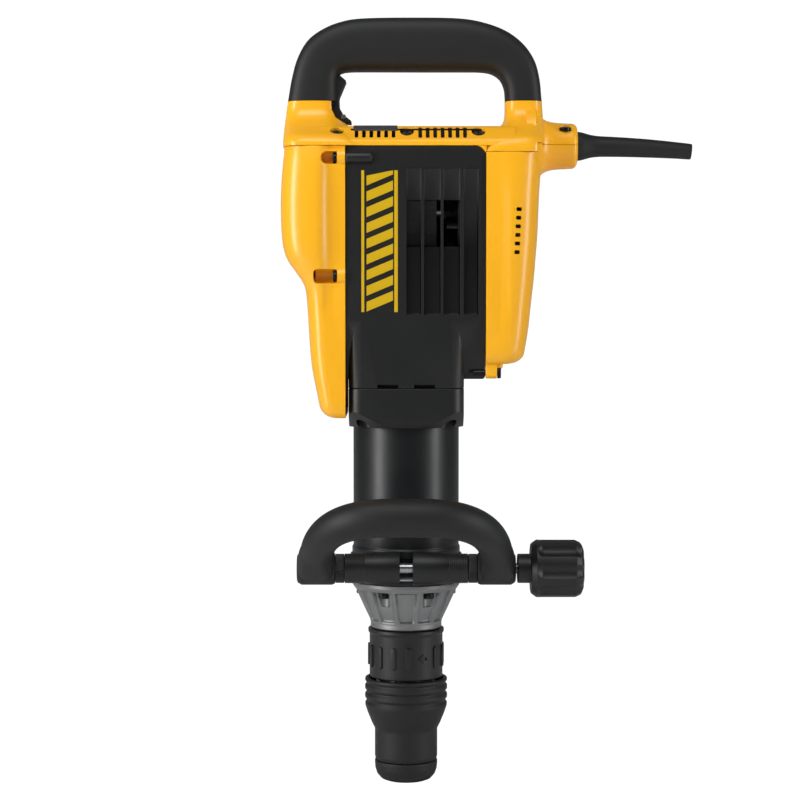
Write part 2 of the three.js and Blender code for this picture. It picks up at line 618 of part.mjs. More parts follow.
const neck = extrude("z", rectangle([-NECK_HALF, NECK_HALF], [-HOUSING_DEPTH, HOUSING_DEPTH], NECK_CORNER),
  HOUSING_LOW, PANEL_LOW + 20);
const panel = extrude("y", outline([
  [HOUSING_LEFT, PANEL_LOW], [HOUSING_RIGHT, PANEL_LOW, 5], [HOUSING_RIGHT, HOUSING_TOP],
  [HOUSING_LEFT, HOUSING_TOP],
]), -HOUSING_DEPTH, HOUSING_DEPTH);
const LOUVRES = [[0.1, 11.8], [14, 27.2], [29.3, 42.5], [45.4, 57.1]];
const LOUVRE_Z = [381.7, 497.5];
const LOUVRE_FLOOR = 37;
const louvres = LOUVRES.flatMap(([a, b]) => [
  box([a, b], [-HOUSING_DEPTH - 1, -LOUVRE_FLOOR], LOUVRE_Z),
  box([a, b], [LOUVRE_FLOOR, HOUSING_DEPTH + 1], LOUVRE_Z),
]);
const crankRoom = [-12, DISC[1] + 1.6];
const ROOM_R = 32.5;
const CONTROL = { x: [-46, -15.3], y: [-38, 38], z: [364, 408] };
const DIAL = { x: -30, z: 386, r: 11, inner: 42.5, outer: 49.5 };
const SCREW_R = 2.2;
const LEFT_SCREWS = [505.5, 412.2];
const LEFT_SCREW_Y = -46;
const LUG_SCREW = { y: -41, z: 335.6 };
const handleScrewX = [-55, 0.5, 57.1];
const handleScrewReach = [7, 22, 22]; // the left one stays inside the handle's foot
const SCREW_TILT = 20;
const SCREW_POINT = { y: -40.5, z: 523 }; // where the handle's screw axes cross, under the heads
const tilted = (low, high, r, x) =>
  rod("z", r, low, high, 0, 0, 14).rotate(SCREW_TILT, 0, 0).translate(x, SCREW_POINT.y, SCREW_POINT.z);
add("main_housing", cut(
  join(neck, panel),
  rod("z", SPIGOT_R + GAP, HOUSING_LOW - 1, SPIGOT_TOP + GAP, 0, 0, 28),
  rod("z", CYLINDER_R + GAP, SPIGOT_TOP - 1, CYLINDER_TOP + GAP, 0, 0, 28),
  box(crankRoom, [-ROOM_R, ROOM_R], [CYLINDER_TOP - 1, CRANK_Z]),
  rod("x", ROOM_R, ...crankRoom, 0, CRANK_Z, 28),
  rod("x", CRANK_BEARING_R + GAP, crankRoom[1] - 1, CRANK_BEARING_IN[1] + GAP, 0, CRANK_Z, 24),
  rod("x", CRANK_SHAFT_R + 1.2, crankRoom[1], HOUSING_RIGHT + 1, 0, CRANK_Z),
  rod("x", CRANK_BEARING_OUT_R + GAP, CRANK_BEARING_OUT[0] - GAP, HOUSING_RIGHT + 1, 0, CRANK_Z, 24),
  rod("x", 6 + RUN, INTERMEDIATE[0] - GAP, HOUSING_RIGHT + 1, 0, WHEEL_Z),
  rod("x", MOTOR_CHAMBER_R, HOUSING_LEFT - 1, 45.5, 0, MOTOR_Z, 28),
  rod("x", BEARING_RIGHT_R + GAP, 45, BEARING_RIGHT[1] + GAP, 0, MOTOR_Z),
  rod("x", SHAFT_R + 1, 45, HOUSING_RIGHT + 1, 0, MOTOR_Z),
  box([HOUSING_LEFT - 1, CONTROL.x[1] + GAP], [-40, 40], [CONTROL.z[0] - 3, CONTROL.z[1] + 3]),
  rod("y", DIAL.r + GAP, 39, HOUSING_DEPTH + 1, DIAL.x, DIAL.z, 24),
  ...louvres,
  ...LEFT_SCREWS.map((z) => rod("x", SCREW_R + GAP, HOUSING_LEFT - 1, HOUSING_LEFT + 14, LEFT_SCREW_Y,
  z, 14)),
  rod("x", SCREW_R + GAP, HOUSING_RIGHT - 12, HOUSING_RIGHT + 1, LUG_SCREW.y, LUG_SCREW.z, 14),
  ...handleScrewX.slice(1).map((x) => tilted(-24, 0, SCREW_R + GAP, x)),
), BLACK);
add("control_module", box(CONTROL.x, CONTROL.y, CONTROL.z), BOARD);
add("speed_dial", join(
  rod("y", DIAL.r, DIAL.inner, DIAL.outer, DIAL.x, DIAL.z, 24),
  rod("y", 3, CONTROL.y[1] + GAP, DIAL.inner + 0.5, DIAL.x, DIAL.z, 12),
), NYLON);

// ---------- yellow covers ----------

// A cover moulded round one end of the housing: stations of [z, edge x, half depth], a corner radius, and
// the plane it butts against. The handle base closes its open top. A fine one has rounder inside corners.
function shellCover(stations, corner, plane, top, fine) {
  const side = Math.sign(stations[0][1]);
  const loop = (z, edge, half, radius, steps) => (side < 0
    ? plan(z, [edge, plane], half, radius, 0.5, steps)
    : plan(z, [plane, edge], half, 0.5, radius, steps));
  const outside = skin(stations.map(([z, edge, half]) => loop(z, edge, half, corner, fine ? 2 : 3)));
  const low = stations[0][0] + WALL;
  const turns = fine ? 2 : 1;
  const inner = stations.filter(([z], i) => z > low + 1 && (fine || i % 2 === 0)).map(([z, edge, half]) =>
    loop(z, edge - side * WALL, half - WALL, corner - WALL, turns));
  const [first, start] = [stations.find(([z]) => z > low + 1), stations.at(-1)];
  inner.unshift(loop(low, first[1] - side * (WALL + 2), first[2] - WALL - 1, corner - WALL, turns));
  inner.push(loop(top + 2, start[1] - side * WALL, start[2] - WALL, corner - WALL, turns));
  const open = box(side < 0 ? [plane - 3, plane + 2] : [plane - 2, plane + 3],
    [-stations[2][2] + WALL, stations[2][2] - WALL], [low + 3, top + 3]);
  return cut(outside, skin(inner), open);
}

const coverPlane = HOUSING_LEFT - GAP;
const coverTop = HOUSING_TOP;
const leftStations = [
  [COVER_LOW, -64, 47], [302.6, -68.5, 49.5], [307.3, -70.6, 50.4], [319.5, -72.8, 51], [337, -76.5, 51.5],
  [352, -78, 52], [376, -79.4, 52.5], [400.7, -81, 53.5], [407, -83.6, 54.2], [415, -89, 55.6], [428,
  -97.5, 57.4],
  [438, -100, COVER_DEPTH], [470, -101.4, COVER_DEPTH], [498, -100, 57], [coverTop, -98.4, 54],
];
const screwBoss = LEFT_SCREWS.map((z) => rod("x", 7.4, -66, coverPlane, LEFT_SCREW_Y, z, 20));
const screwScoop = LEFT_SCREWS.map((z) => rod("x", 5, -110, -54.5, LEFT_SCREW_Y, z, 18));
const screwHoles = LEFT_SCREWS.map((z) => rod("x", SCREW_R + GAP, -60, -40, LEFT_SCREW_Y, z, 14));
const bearingCup = rod("x", 14.5, -99, -75.7, 0, MOTOR_Z);
add("left_cover", cut(
  join(shellCover(leftStations, COVER_CORNER, coverPlane, coverTop, true), ...screwBoss, bearingCup),
  rod("x", BEARING_LEFT_R + GAP, BEARING_LEFT[0] - 1.5, -70, 0, MOTOR_Z),
  ...screwScoop,
  ...screwHoles,
), YELLOW);
const screwBody = (axis, headR, head, point, a, b, headLow = true) => join(
  rod(axis, headR, ...(headLow ? [head[0], head[1]] : [head[0], head[1]]), a, b, 16),
  rod(axis, SCREW_R, ...point, a, b, 12),
);
["upper", "lower"].forEach((name, i) => {
  const shape = screwBody("x", 4.6, [-58, -54.8], [-55.5, -36], LEFT_SCREW_Y, LEFT_SCREWS[i]);
  add(`left_cover_screw_${name}`, shape, BLACK_METAL);
});

const rearPlane = HOUSING_RIGHT + GAP;
const rearStations = [
  [REAR_COVER_LOW, 88, 46], [345.5, 93.5, 49], [351, 96, 50.5], [370, 99.3, 51.5], [389, 101, 52.4],
  [409, 103.4, 53.4], [428, 105, 54.4], [447, 106.6, 55], [473, 107.4, 55], [490, 108.6, 54],
  [REAR_SPLIT, 110.2, 52], [BOSS_Z - GAP / 2, 110.8, 51],
];
const rearTop = BOSS_Z - GAP / 2;
const bossZ = BOSS_Z;
const bossBody = rod("x", BOSS_R, 96, BOSS_END, 0, bossZ, 32);
const lowerHalf = bossBody.trimByPlane([0, 0, -1], -(bossZ - GAP / 2));
const STEM_R = 8.7;
const BOOT_FLANGE = [118, 124];
const bossHollow = join(
  rod("x", STEM_R + GAP, BOOT_FLANGE[0] - GAP, BOSS_END + 1, 0, bossZ, 24),
  rod("x", 12.4 + GAP, BOOT_FLANGE[0] - GAP, BOOT_FLANGE[1] + GAP, 0, bossZ, 24),
  rod("x", 7, 70, BOOT_FLANGE[0], 0, bossZ, 20),
);
const lugBlock = join(
  box([rearPlane, rearPlane + 9], [LUG_SCREW.y - 5, LUG_SCREW.y + 5], [PANEL_LOW + 0.5,
    REAR_COVER_LOW + 5]),
);
const ventZ = [...Array(6).keys()].map((i) => 431.4 + 6.75 * i);
const sideVents = ventZ.flatMap((z) => [1, -1].map((s) => box([88, 92.4], s > 0 ? [40, 62] : [-62,
  -40], [z, z + 3])));
add("right_cover", cut(
  join(shellCover(rearStations, REAR_CORNER, rearPlane, rearTop), lowerHalf, lugBlock),
  bossHollow,
  box([rearPlane - 9, REAR_STEP], [-70, 70], [REAR_SPLIT, 530]),
  rod("x", SCREW_R + GAP, rearPlane - 1, rearPlane + 12, LUG_SCREW.y, LUG_SCREW.z, 14),
  ...sideVents,
  rod("z", 1.9 + GAP, bossZ - 9, bossZ + 2, 128, -13, 12),
), YELLOW);
add("right_lug_screw", screwBody("x", 4.6, [rearPlane + 9.3, rearPlane + 12.3],
  [HOUSING_RIGHT - 10, rearPlane + 9.8], LUG_SCREW.y, LUG_SCREW.z), BLACK_METAL);

// The gear case closes the oil-filled side of the crank gear, inside the rear cover.
const caseShape = outline([
  [-38, CRANK_Z - 37.2, 30], [38, CRANK_Z - 37.2, 30], [38, 440, 12], [30, 482, 14], [-30, 482, 14],
  [-38, 440, 12],
]);
const caseRoom = outline([
  [-35.6, CRANK_Z - 35.6, 27], [35.6, CRANK_Z - 35.6, 27], [35.6, 440, 10], [27.6, 479.6, 12],
  [-27.6, 479.6, 12], [-35.6, 440, 10],
]);
const CASE_END = 90.5;
add("gear_case", cut(
  extrude("x", caseShape, rearPlane, CASE_END),
  extrude("x", caseRoom, rearPlane - 1, CASE_END - 3),
  rod("x", 6 + RUN, 80, CASE_END + 1, 0, WHEEL_Z),
), CAST);

// ---------- handle base and D-shaped handle ----------

// Stations round the handle: a point on its outer edge and the one across from it on its inner edge.
const D_STATIONS = [
  [[-98.4, 528], [-48, 528]], [[-97.6, 538], [-53.4, 538]], [[-96.4, 546], [-54.6, 546]],
  [[-95, 557], [-55, 557]], [[-92.4, 571], [-55, 569]], [[-87.6, 588], [-55, 575]],
  [[-80, 601.5], [-52, 577.4]], [[-69.6, 610], [-46, 577.8]], [[-54, 617], [-38, 578]],
  [[-34, 620.4], [-26, 577.9]], [[12, 620.8], [12, 577.7]], [[44, 620], [44, 577.7]],
  [[64, 616], [60, 577.6]], [[81, 609.6], [69, 576]], [[94, 600.4], [75.4, 571.6]],
  [[103.4, 588], [78.8, 565]], [[107.8, 572], [79.8, 558]], [[109.4, 557], [79.8, 551]],
  [[110.6, 541], [79.7, 541]], [[111.2, 528], [78.4, 528]],
];
const ROUND = 9.5;
const handleBody = skin(D_STATIONS.map(([outer, inner]) => {
  const start = new THREE.Vector3(inner[0], 0, inner[1]);
  const across = new THREE.Vector3(outer[0], 0, outer[1]).sub(start);
  const width = across.length();
  across.normalize();
  return plan(0, [0, width], LEG_DEPTH, ROUND, ROUND).map((p) =>
    start.clone().addScaledVector(across, p.x).add(new THREE.Vector3(0, p.y, 0)));
}));
const POCKET = LEG_DEPTH - GRIP_WALL;
const handleRoom = extrude("y", outline([
  [-89, 500], [-88, 566, 20], [-79, 598, 18], [-60, 611, 12], [64, 611, 16], [90, 597, 16], [100.5,
  560, 10],
  [102, 530], [88.5, 530], [88.5, 584, 14], [-64, 584, 6], [-64, 500],
]), -POCKET, POCKET);
const TRIGGER_PIVOT = [-50.5, 541];
const triggerRoom = extrude("y", outline([
  [-71, 534.6], [-71, 577], [-50, 577], [-42, 560], [-42, 534.6],
]), -TRIGGER_HALF - 0.4, TRIGGER_HALF + 0.4);
const gripSolid = cut(handleBody.trimByPlane([0, 0, 1], LEG_TOP + GAP), handleRoom, triggerRoom);
add("grip_front", gripSolid.trimByPlane([0, -1, 0], GAP / 2), RUBBER);
add("grip_back", gripSolid.trimByPlane([0, 1, 0], GAP / 2), RUBBER);

const ledgeProfile = outline([
  [-51, HOUSING_TOP + GAP], [51, HOUSING_TOP + GAP], [51, 521, 4], [36, LEDGE_TOP, 10], [-36,
  LEDGE_TOP, 10],
  [-51, 521, 4],
]);
const ledge = extrude("x", ledgeProfile, -62, 84);
const leftLeg = skin([
  plan(HOUSING_TOP + GAP, [-98.4, -46], 52, 19, 6), plan(521, [-98.6, -42], 50, 19, 6),
  plan(529, [-98.4, -44], 36, 15, 8), plan(538, [-97.2, -51], 23.5, 11, 9), plan(546, [-96.4, -54.6],
  20, 9, 9),
]);
const rightLeg = skin([
  plan(REAR_SPLIT + GAP, [rearPlane, 110.2], 52, 0.6, 15), plan(519, [70, 111], 50, 6, 16),
  plan(528, [76, 111.2], 36, 8, 14), plan(538, [79.6, 110.9], 23.5, 9, 11), plan(546, [79.6, 110.4],
  20, 9, 9),
]);
const upperHalf = bossBody.trimByPlane([0, 0, 1], bossZ + GAP / 2);
const legs = handleBody.trimByPlane([0, 0, -1], -LEG_TOP);
const underLedge = box([-44, 62], [-41, 41], [HOUSING_TOP - 1, 527]);
const underRight = box([66, 102], [-40, 40], [REAR_SPLIT - 1, 521]);
const rightWell = box([88.5, 102], [-12, 12], [515, 560]);
const vents = [
  ...[...Array(6).keys()].map((i) => box([-41.6 + 6 * i, -38.7 + 6 * i], [-34, -20], [520, 536])),
  ...[...Array(7).keys()].map((i) => box([10 + 6.05 * i, 13 + 6.05 * i], [-38, -20], [520, 536])),
];
const baseBody = join(ledge, leftLeg, rightLeg, legs, upperHalf);
add("handle_base", cut(
  baseBody,
  box([REAR_STEP - GAP, 145], [-70, 70], [500, bossZ + GAP / 2]),
  underLedge,
  box([-90, -60], [-POCKET, POCKET], [HOUSING_TOP - 1, LEG_TOP + 1]),
  underRight,
  rightWell,
  triggerRoom,
  bossHollow,
  ...vents,
  ...handleScrewX.map((x, i) => join(
    tilted(i ? -30 : -handleScrewReach[0] - 0.6, 2, SCREW_R + GAP, x), tilted(0, 30, 5.4, x))),
  rod("z", 5, 529, 545, 128, -13, 18),
  rod("z", 1.9 + GAP, 515, 531, 128, -13, 12),
  rod("y", 2.3, -30, 30, ...TRIGGER_PIVOT, 14),
), YELLOW);
["left", "middle", "right"].forEach((name, i) => {
  const shape = join(
    tilted(GAP, 3.6, 5, handleScrewX[i]), tilted(-handleScrewReach[i], GAP + 0.4, SCREW_R,
      handleScrewX[i]));
  add(`handle_screw_${name}`, shape, BLACK_METAL);
});
add("cord_boss_screw", join(
  rod("z", 4.6, 529.3, 532, 128, -13, 16),
  rod("z", 1.9, bossZ - 8.5, 529.8, 128, -13, 12),
), BLACK_METAL);

const triggerProfile = outline([
  [-54.5, 575, 1.5], [-48.5, 569.6, 1], [-54.5, 551.5, 8], [-51.1, 543, 3], [-44.4, 537.5, 1], [-44.4,
  535.6],
  [-56, 536.4, 2], [-62.5, 546, 3], [-62.5, 573, 2],
]);
add("trigger", cut(
  extrude("y", triggerProfile, -TRIGGER_HALF, TRIGGER_HALF),
  rod("y", 2.3, -30, 30, ...TRIGGER_PIVOT, 14),
), RUBBER);
add("trigger_pivot_pin", rod("y", 2, -17, 17, ...TRIGGER_PIVOT, 14), STEEL);
add("trigger_switch", box([-85.5, -71.6], [-POCKET + 0.5, POCKET - 0.5], [520, 566]), BLACK);

const droop = (x) => bossZ - BOOT_DROOP * ((x - BOSS_END) / (BOOT_END - BOSS_END)) ** 2;
const bootRadius = graph([[138.6, 11.6], [142, 11.4], [148, 9.8], [156, 8.4], [180, 7.8], [206, 7.1],
  [231, 6.3]]);
const bootLoop = (x, r) => {
  const slope = x > BOSS_END ? (-2 * BOOT_DROOP * (x - BOSS_END)) / (BOOT_END - BOSS_END) ** 2 : 0;
  const along = new THREE.Vector3(1, 0, slope).normalize();
  const z = x > BOSS_END ? droop(x) : bossZ;
  return hoop(new THREE.Vector3(x, 0, z), along, new THREE.Vector3(0, 1, 0), r, 12);
};
const bootX = [138.6, 142, 148, 156, 168, 181, 194, 207, 219, BOOT_END];
const bootOutside = skin(bootX.map((x) => bootLoop(x, bootRadius(x))));
const bootBore = skin([112, ...bootX, BOOT_END + 3].map((x) => bootLoop(x, CORD_BORE_R)));
add("cord_boot", cut(
  join(bootOutside, rod("x", STEM_R, BOOT_FLANGE[0], 140, 0, bossZ), rod("x", 12.4, ...BOOT_FLANGE, 0,
    bossZ)),
  bootBore,
), RUBBER);

// ---------- side handle ----------

const BAND_Z = [GROOVE_LOW + GAP, GROOVE_HIGH - GAP];
const HINGE_Y = GROOVE_R + 7;
const halves = (BAND_Z[1] - BAND_Z[0] - 2 * GAP) / 3;
const clampSleeve = turn("x", [
  [0, CLAMP_GAP], [CLAMP_SLEEVE_R, CLAMP_GAP], [10.5, CLAMP_END], [0, CLAMP_END],
], 20, BOLT_Y, BOLT_Z);
function clampHalf(side) {
  const band = ring("z", GROOVE_R + BAND_WALL, GROOVE_R + GAP, ...BAND_Z, 0, 0, 28);
  const xs = side > 0 ? [CLAMP_GAP, 38] : [-38, -CLAMP_GAP];
  const web = extrude("z", rectangle(xs, [BOLT_Y, -22], 4), ...BAND_Z);
  const back = side > 0 ? [GAP / 2, 60] : [-60, -GAP / 2];
  const front = side > 0 ? [CLAMP_GAP, 60] : [-60, -CLAMP_GAP];
  const halfBand = band.intersect(join(box(back, [0, 60], [150, 200]), box(front, [-60, 0.5], [150,
    200])));
  const sleeve = side > 0 ? clampSleeve : clampSleeve.mirror([1, 0, 0]);
  const knuckleZ = side > 0
    ? [[BAND_Z[0] + halves + GAP, BAND_Z[0] + 2 * halves + GAP]]
    : [[BAND_Z[0], BAND_Z[0] + halves], [BAND_Z[1] - halves, BAND_Z[1]]];
  const other = side > 0
    ? [[BAND_Z[0] - 1, BAND_Z[0] + halves + GAP], [BAND_Z[1] - halves - GAP, BAND_Z[1] + 1]]
    : [[BAND_Z[0] + halves, BAND_Z[1] - halves]];
  const knuckles = knuckleZ.map(([a, b]) => rod("z", 4.6, a, b, 0, HINGE_Y, 18));
  const clearances = other.map(([a, b]) => rod("z", 4.6 + GAP, a, b, 0, HINGE_Y, 18));
  return cut(
    join(cut(join(halfBand, web, sleeve), rod("z", GROOVE_R + GAP, BAND_Z[0] - 20, BAND_Z[1] + 20, 0,
      0, 28),
      ...clearances), ...knuckles),
    rod("z", GROOVE_R + GAP, BAND_Z[0] - 1, BAND_Z[1] + 1, 0, 0, 28),
    rod("z", 2 + GAP, BAND_Z[0] - 1, BAND_Z[1] + 1, 0, HINGE_Y, 14),
    rod("x", BOLT_R + GAP, -60, 60, BOLT_Y, BOLT_Z, 16),
  );
}
add("clamp_half_right", clampHalf(1), BLACK);
add("clamp_half_left", clampHalf(-1), BLACK);
add("clamp_hinge_pin", rod("z", 2, BAND_Z[0] + 0.2, BAND_Z[1] - 0.2, 0, HINGE_Y, 14), STEEL);

const SERRATED = [CLAMP_END + GAP, CLAMP_END + GAP + SERRATION];
add("toothed_washer_right", ring("x", 12.2, BOLT_R + GAP, ...SERRATED, BOLT_Y, BOLT_Z, 16), BLACK);
add("toothed_washer_left", ring("x", 12.2, BOLT_R + GAP, -SERRATED[1], -SERRATED[0], BOLT_Y, BOLT_Z,
  16), BLACK);

const gripEnd = SERRATED[1] + GAP;
const half = 71.5;
const bend = 34;
const flat = (x, r) => new THREE.Vector3(x, r, 0);
const cornerLeft = new THREE.QuadraticBezierCurve3(
  flat(-half, LOOP_REACH - bend), flat(-half, LOOP_REACH), flat(-half + bend + 8, LOOP_REACH));
const cornerRight = new THREE.QuadraticBezierCurve3(
  flat(half - bend - 8, LOOP_REACH), flat(half, LOOP_REACH), flat(half, LOOP_REACH - bend));
const gripLoops = [];
const gripStation = (centre, along) => {
  const radius = THREE.MathUtils.mapLinear(centre.y, 0, LOOP_REACH, 13.2, 15.6);
  gripLoops.push(hoop(centre, along, new THREE.Vector3(0, 0, 1), radius, 14));
};
const BENDS = [0, 0.2, 0.4, 0.6, 0.8, 1];
gripStation(flat(-half, 0), flat(0, 1));
BENDS.forEach((t) => gripStation(cornerLeft.getPoint(t), cornerLeft.getTangent(t)));
BENDS.forEach((t) => gripStation(cornerRight.getPoint(t), cornerRight.getTangent(t)));
gripStation(flat(half, 0), flat(0, -1));
add("side_grip", cut(
  join(skin(gripLoops), rod("x", 13, gripEnd, EYE_BOSS_END), rod("x", 12.9, -EYE_END, -gripEnd)),
  rod("x", BOLT_R + GAP, -EYE_END + 4, 100, 0, 0, 16),
  rod("x", 6.6 + GAP, -EYE_END - 5, -EYE_END + 5, 0, 0, 20),
).rotate(180 - LOOP_TILT, 0, 0).translate(0, BOLT_Y, BOLT_Z), RUBBER);

const boltHead = -EYE_END + 4.7;
add("clamp_bolt", join(
  rod("x", 6.6, -EYE_END, boltHead, BOLT_Y, BOLT_Z, 20),
  rod("x", BOLT_R, boltHead - 0.5, 124, BOLT_Y, BOLT_Z, 16),
), STEEL);
const flutes = [...Array(8).keys()].map((i) =>
  rod("x", 9, KNOB_START + KNOB_NECK + 6, KNOB_END + 1, 0, 0, 12).translate(0, -KNOB_R - 6.4, 0)
    .rotate(i * 45, 0, 0));
const knobProfile = [
  [0, KNOB_START], [KNOB_NECK_R, KNOB_START], [KNOB_NECK_R, KNOB_START + KNOB_NECK],
  [KNOB_R - 3.5, KNOB_START + KNOB_NECK], [KNOB_R, KNOB_START + KNOB_NECK + 4], [KNOB_R, KNOB_END - 6],
  [KNOB_R - 2, KNOB_END - 2], [KNOB_R - 6, KNOB_END], [0, KNOB_END],
];
add("clamp_knob", cut(
  turn("x", knobProfile, 24),
  ...flutes,
  rod("x", BOLT_R + GAP, KNOB_START - 1, 125, 0, 0, 16),
).translate(0, BOLT_Y, BOLT_Z), BLACK);

export default group;
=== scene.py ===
import math

import bpy
import numpy as np
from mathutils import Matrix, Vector


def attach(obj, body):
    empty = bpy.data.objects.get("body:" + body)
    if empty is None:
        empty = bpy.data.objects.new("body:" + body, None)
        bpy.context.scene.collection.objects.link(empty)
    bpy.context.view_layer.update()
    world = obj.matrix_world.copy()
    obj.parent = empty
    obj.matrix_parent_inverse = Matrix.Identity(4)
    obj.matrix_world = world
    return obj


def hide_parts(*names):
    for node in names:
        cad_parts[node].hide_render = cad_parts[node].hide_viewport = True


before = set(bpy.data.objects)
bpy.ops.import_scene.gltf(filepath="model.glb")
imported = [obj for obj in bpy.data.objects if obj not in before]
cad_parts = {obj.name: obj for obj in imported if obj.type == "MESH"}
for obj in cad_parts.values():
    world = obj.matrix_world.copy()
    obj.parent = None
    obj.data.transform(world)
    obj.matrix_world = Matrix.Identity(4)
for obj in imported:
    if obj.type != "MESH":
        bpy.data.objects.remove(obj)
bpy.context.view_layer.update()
print("stage: frame loaded")


# materials

def toLinear(code):
    # sRGB byte value to scene-linear, channel by channel
    parts = [int(code[i:i + 2], 16) / 255 for i in (1, 3, 5)]
    return [p / 12.92 if p <= 0.04045 else ((p + 0.055) / 1.055) ** 2.4 for p in parts] + [1.0]


def node(tree, kind, links=(), **values):
    # adds one node, sets its sockets or properties by name, and links (output, input name) pairs
    made = tree.nodes.new(kind)
    for key, value in values.items():
        if key.startswith("in_"):
            made.inputs[int(key[3:])].default_value = value
        elif hasattr(made, key):
            setattr(made, key, value)
        else:
            made.inputs[key].default_value = value
    for output, name in links:
        tree.links.new(output, made.inputs[name])
    return made


def surface(name, code, rough, metal=0.0, coat=0.0, grain=None, speck=0.0, edge=0.0004):
    # grain is (cells per metre, depth in metres) of a fine moulded or cast texture
    made = bpy.data.materials.new(name)
    made.use_nodes = True
    tree = made.node_tree
    tree.nodes.clear()
    out = node(tree, "ShaderNodeOutputMaterial")
    body = node(tree, "ShaderNodeBsdfPrincipled")
    tree.links.new(body.outputs[0], out.inputs[0])
    place = node(tree, "ShaderNodeTexCoord").outputs["Object"]
    body.inputs["Metallic"].default_value = metal
    body.inputs["Coat Weight"].default_value = coat
    body.inputs["Coat Roughness"].default_value = 0.25
    # slow variation in tone and in gloss, as handling and moulding leave it
    cloud = node(tree, "ShaderNodeTexNoise", [(place, "Vector")], Scale=34.0, Detail=4.0, Roughness=0.6)
    tone = node(tree, "ShaderNodeMapRange", [(cloud.outputs[0], "Value")], in_3=1.0 - speck,
                in_4=1.0 + speck)
    shade = node(tree, "ShaderNodeVectorMath", operation="SCALE", in_0=toLinear(code)[:3])
    tree.links.new(tone.outputs[0], shade.inputs["Scale"])
    tree.links.new(shade.outputs[0], body.inputs["Base Color"])
    gloss = node(tree, "ShaderNodeMapRange", [(cloud.outputs[0], "Value")],
                 in_3=rough - 0.05, in_4=rough + 0.05)
    tree.links.new(gloss.outputs[0], body.inputs["Roughness"])
    bevel = node(tree, "ShaderNodeBevel", Radius=edge, samples=3)
    normal = bevel.outputs[0]
    if grain:
        cells = node(tree, "ShaderNodeTexNoise", [(place, "Vector")], Scale=grain[0], Detail=2.0)
        bump = node(tree, "ShaderNodeBump", [(cells.outputs[0], "Height"), (normal, "Normal")],
                    Distance=grain[1])
        bump.inputs["Strength"].default_value = 1.0
        normal = bump.outputs[0]
    tree.links.new(normal, body.inputs["Normal"])
    return made


paint = {
    # injection-moulded nylon, semi-gloss, with a faint spark-eroded grain
    "yellow": surface("yellow moulded nylon, semi-gloss",
                      "#fbb417", 0.33, coat=0.15, grain=(900, 0.00002), speck=0.02),
    # glass-filled nylon, satin
    "black": surface("black glass-filled nylon, satin", "#0c0d0e", 0.46, grain=(1400, 0.00003), speck=0.06),
    # overmoulded elastomer, matte with a fine grain
    "rubber": surface("black elastomer overmould, matte",
                      "#08090a", 0.58, grain=(1600, 0.00005), speck=0.08),
    # tube enamel, satin with long soft reflections
    "enamel": surface("black enamel on steel tube, satin", "#0e1012", 0.4, metal=0.25, coat=0.1, speck=0.03),
    # die casting, bead-blasted
    "cast": surface("aluminium die casting, bead-blasted",
                    "#8a8b8c", 0.46, metal=0.85, grain=(700, 0.00004), speck=0.08),
    # ground steel with a film of oil
    "steel": surface("ground steel, oiled", "#a9abad", 0.28, metal=1.0, speck=0.05),
    # black oxide on alloy-steel screws
    "oxide": surface("black-oxide screw steel, satin", "#2a2b2d", 0.3, metal=0.9, speck=0.05),
    # turned copper bars
    "copper": surface("turned copper, bright", "#b87648", 0.3, metal=1.0, speck=0.06),
    # varnished electrical sheet
    "lamination": surface("varnished electrical steel, dark satin", "#1a1a1c", 0.6, metal=0.3, speck=0.1),
    # pressed carbon
    "carbon": surface("pressed carbon, matte", "#1f1f20", 0.7, speck=0.1),
    # potted electronics board
    "board": surface("epoxy-potted board, satin green", "#1d4a33", 0.45, speck=0.1),
    # plain nylon of inner pieces
    "nylon": surface("black nylon, satin", "#19191b", 0.5, speck=0.05),
    # printed film
    "film": surface("printed yellow film, satin", "#cfa800", 0.4, speck=0.03),
    # moulded polycarbonate window
    "window": surface("grey polycarbonate strip, satin", "#38363c", 0.5, speck=0.03),
}
print("stage: materials made")


# shapes: every one is a grid of points computed as whole arrays

mm = 0.001


def roundCorners(corners, steps=6):
    # corners: rows of (a, b, radius). Each corner becomes a circular arc tangent to both sides.
    table = np.array([list(c) + [0.0] * (3 - len(c)) for c in corners], float)
    here, radius = table[:, :2], table[:, 2]
    back = np.roll(here, 1, 0) - here
    ahead = np.roll(here, -1, 0) - here
    lengthBack = np.linalg.norm(back, axis=1)
    lengthAhead = np.linalg.norm(ahead, axis=1)
    back /= lengthBack[:, None]
    ahead /= lengthAhead[:, None]
    half = np.arccos(np.clip((back * ahead).sum(1), -1, 1)) / 2
    reach = np.minimum(radius / np.tan(half), 0.49 * np.minimum(lengthBack, lengthAhead))
    radius = reach * np.tan(half)
    middle = back + ahead
    middle /= np.maximum(np.linalg.norm(middle, axis=1), 1e-9)[:, None]
    centre = here + middle * (radius / np.sin(half))[:, None]
    spoke = here + back * reach[:, None] - centre
    turn = np.sign(back[:, 0] * ahead[:, 1] - back[:, 1] * ahead[:, 0])
    angles = turn[:, None] * (np.pi - 2 * half)[:, None] * np.linspace(0, 1, steps + 1)[None, :]
    # turn the first spoke about the arc's centre
    c, s = np.cos(-angles), np.sin(-angles)
    x = centre[:, 0, None] + c * spoke[:, 0, None] - s * spoke[:, 1, None]
    y = centre[:, 1, None] + s * spoke[:, 0, None] + c * spoke[:, 1, None]
    points = np.stack([x, y], -1)
    sharp = radius < 1e-6
    kept = [points[i, :1] if sharp[i] else points[i] for i in range(len(points))]
    return np.concatenate(kept)


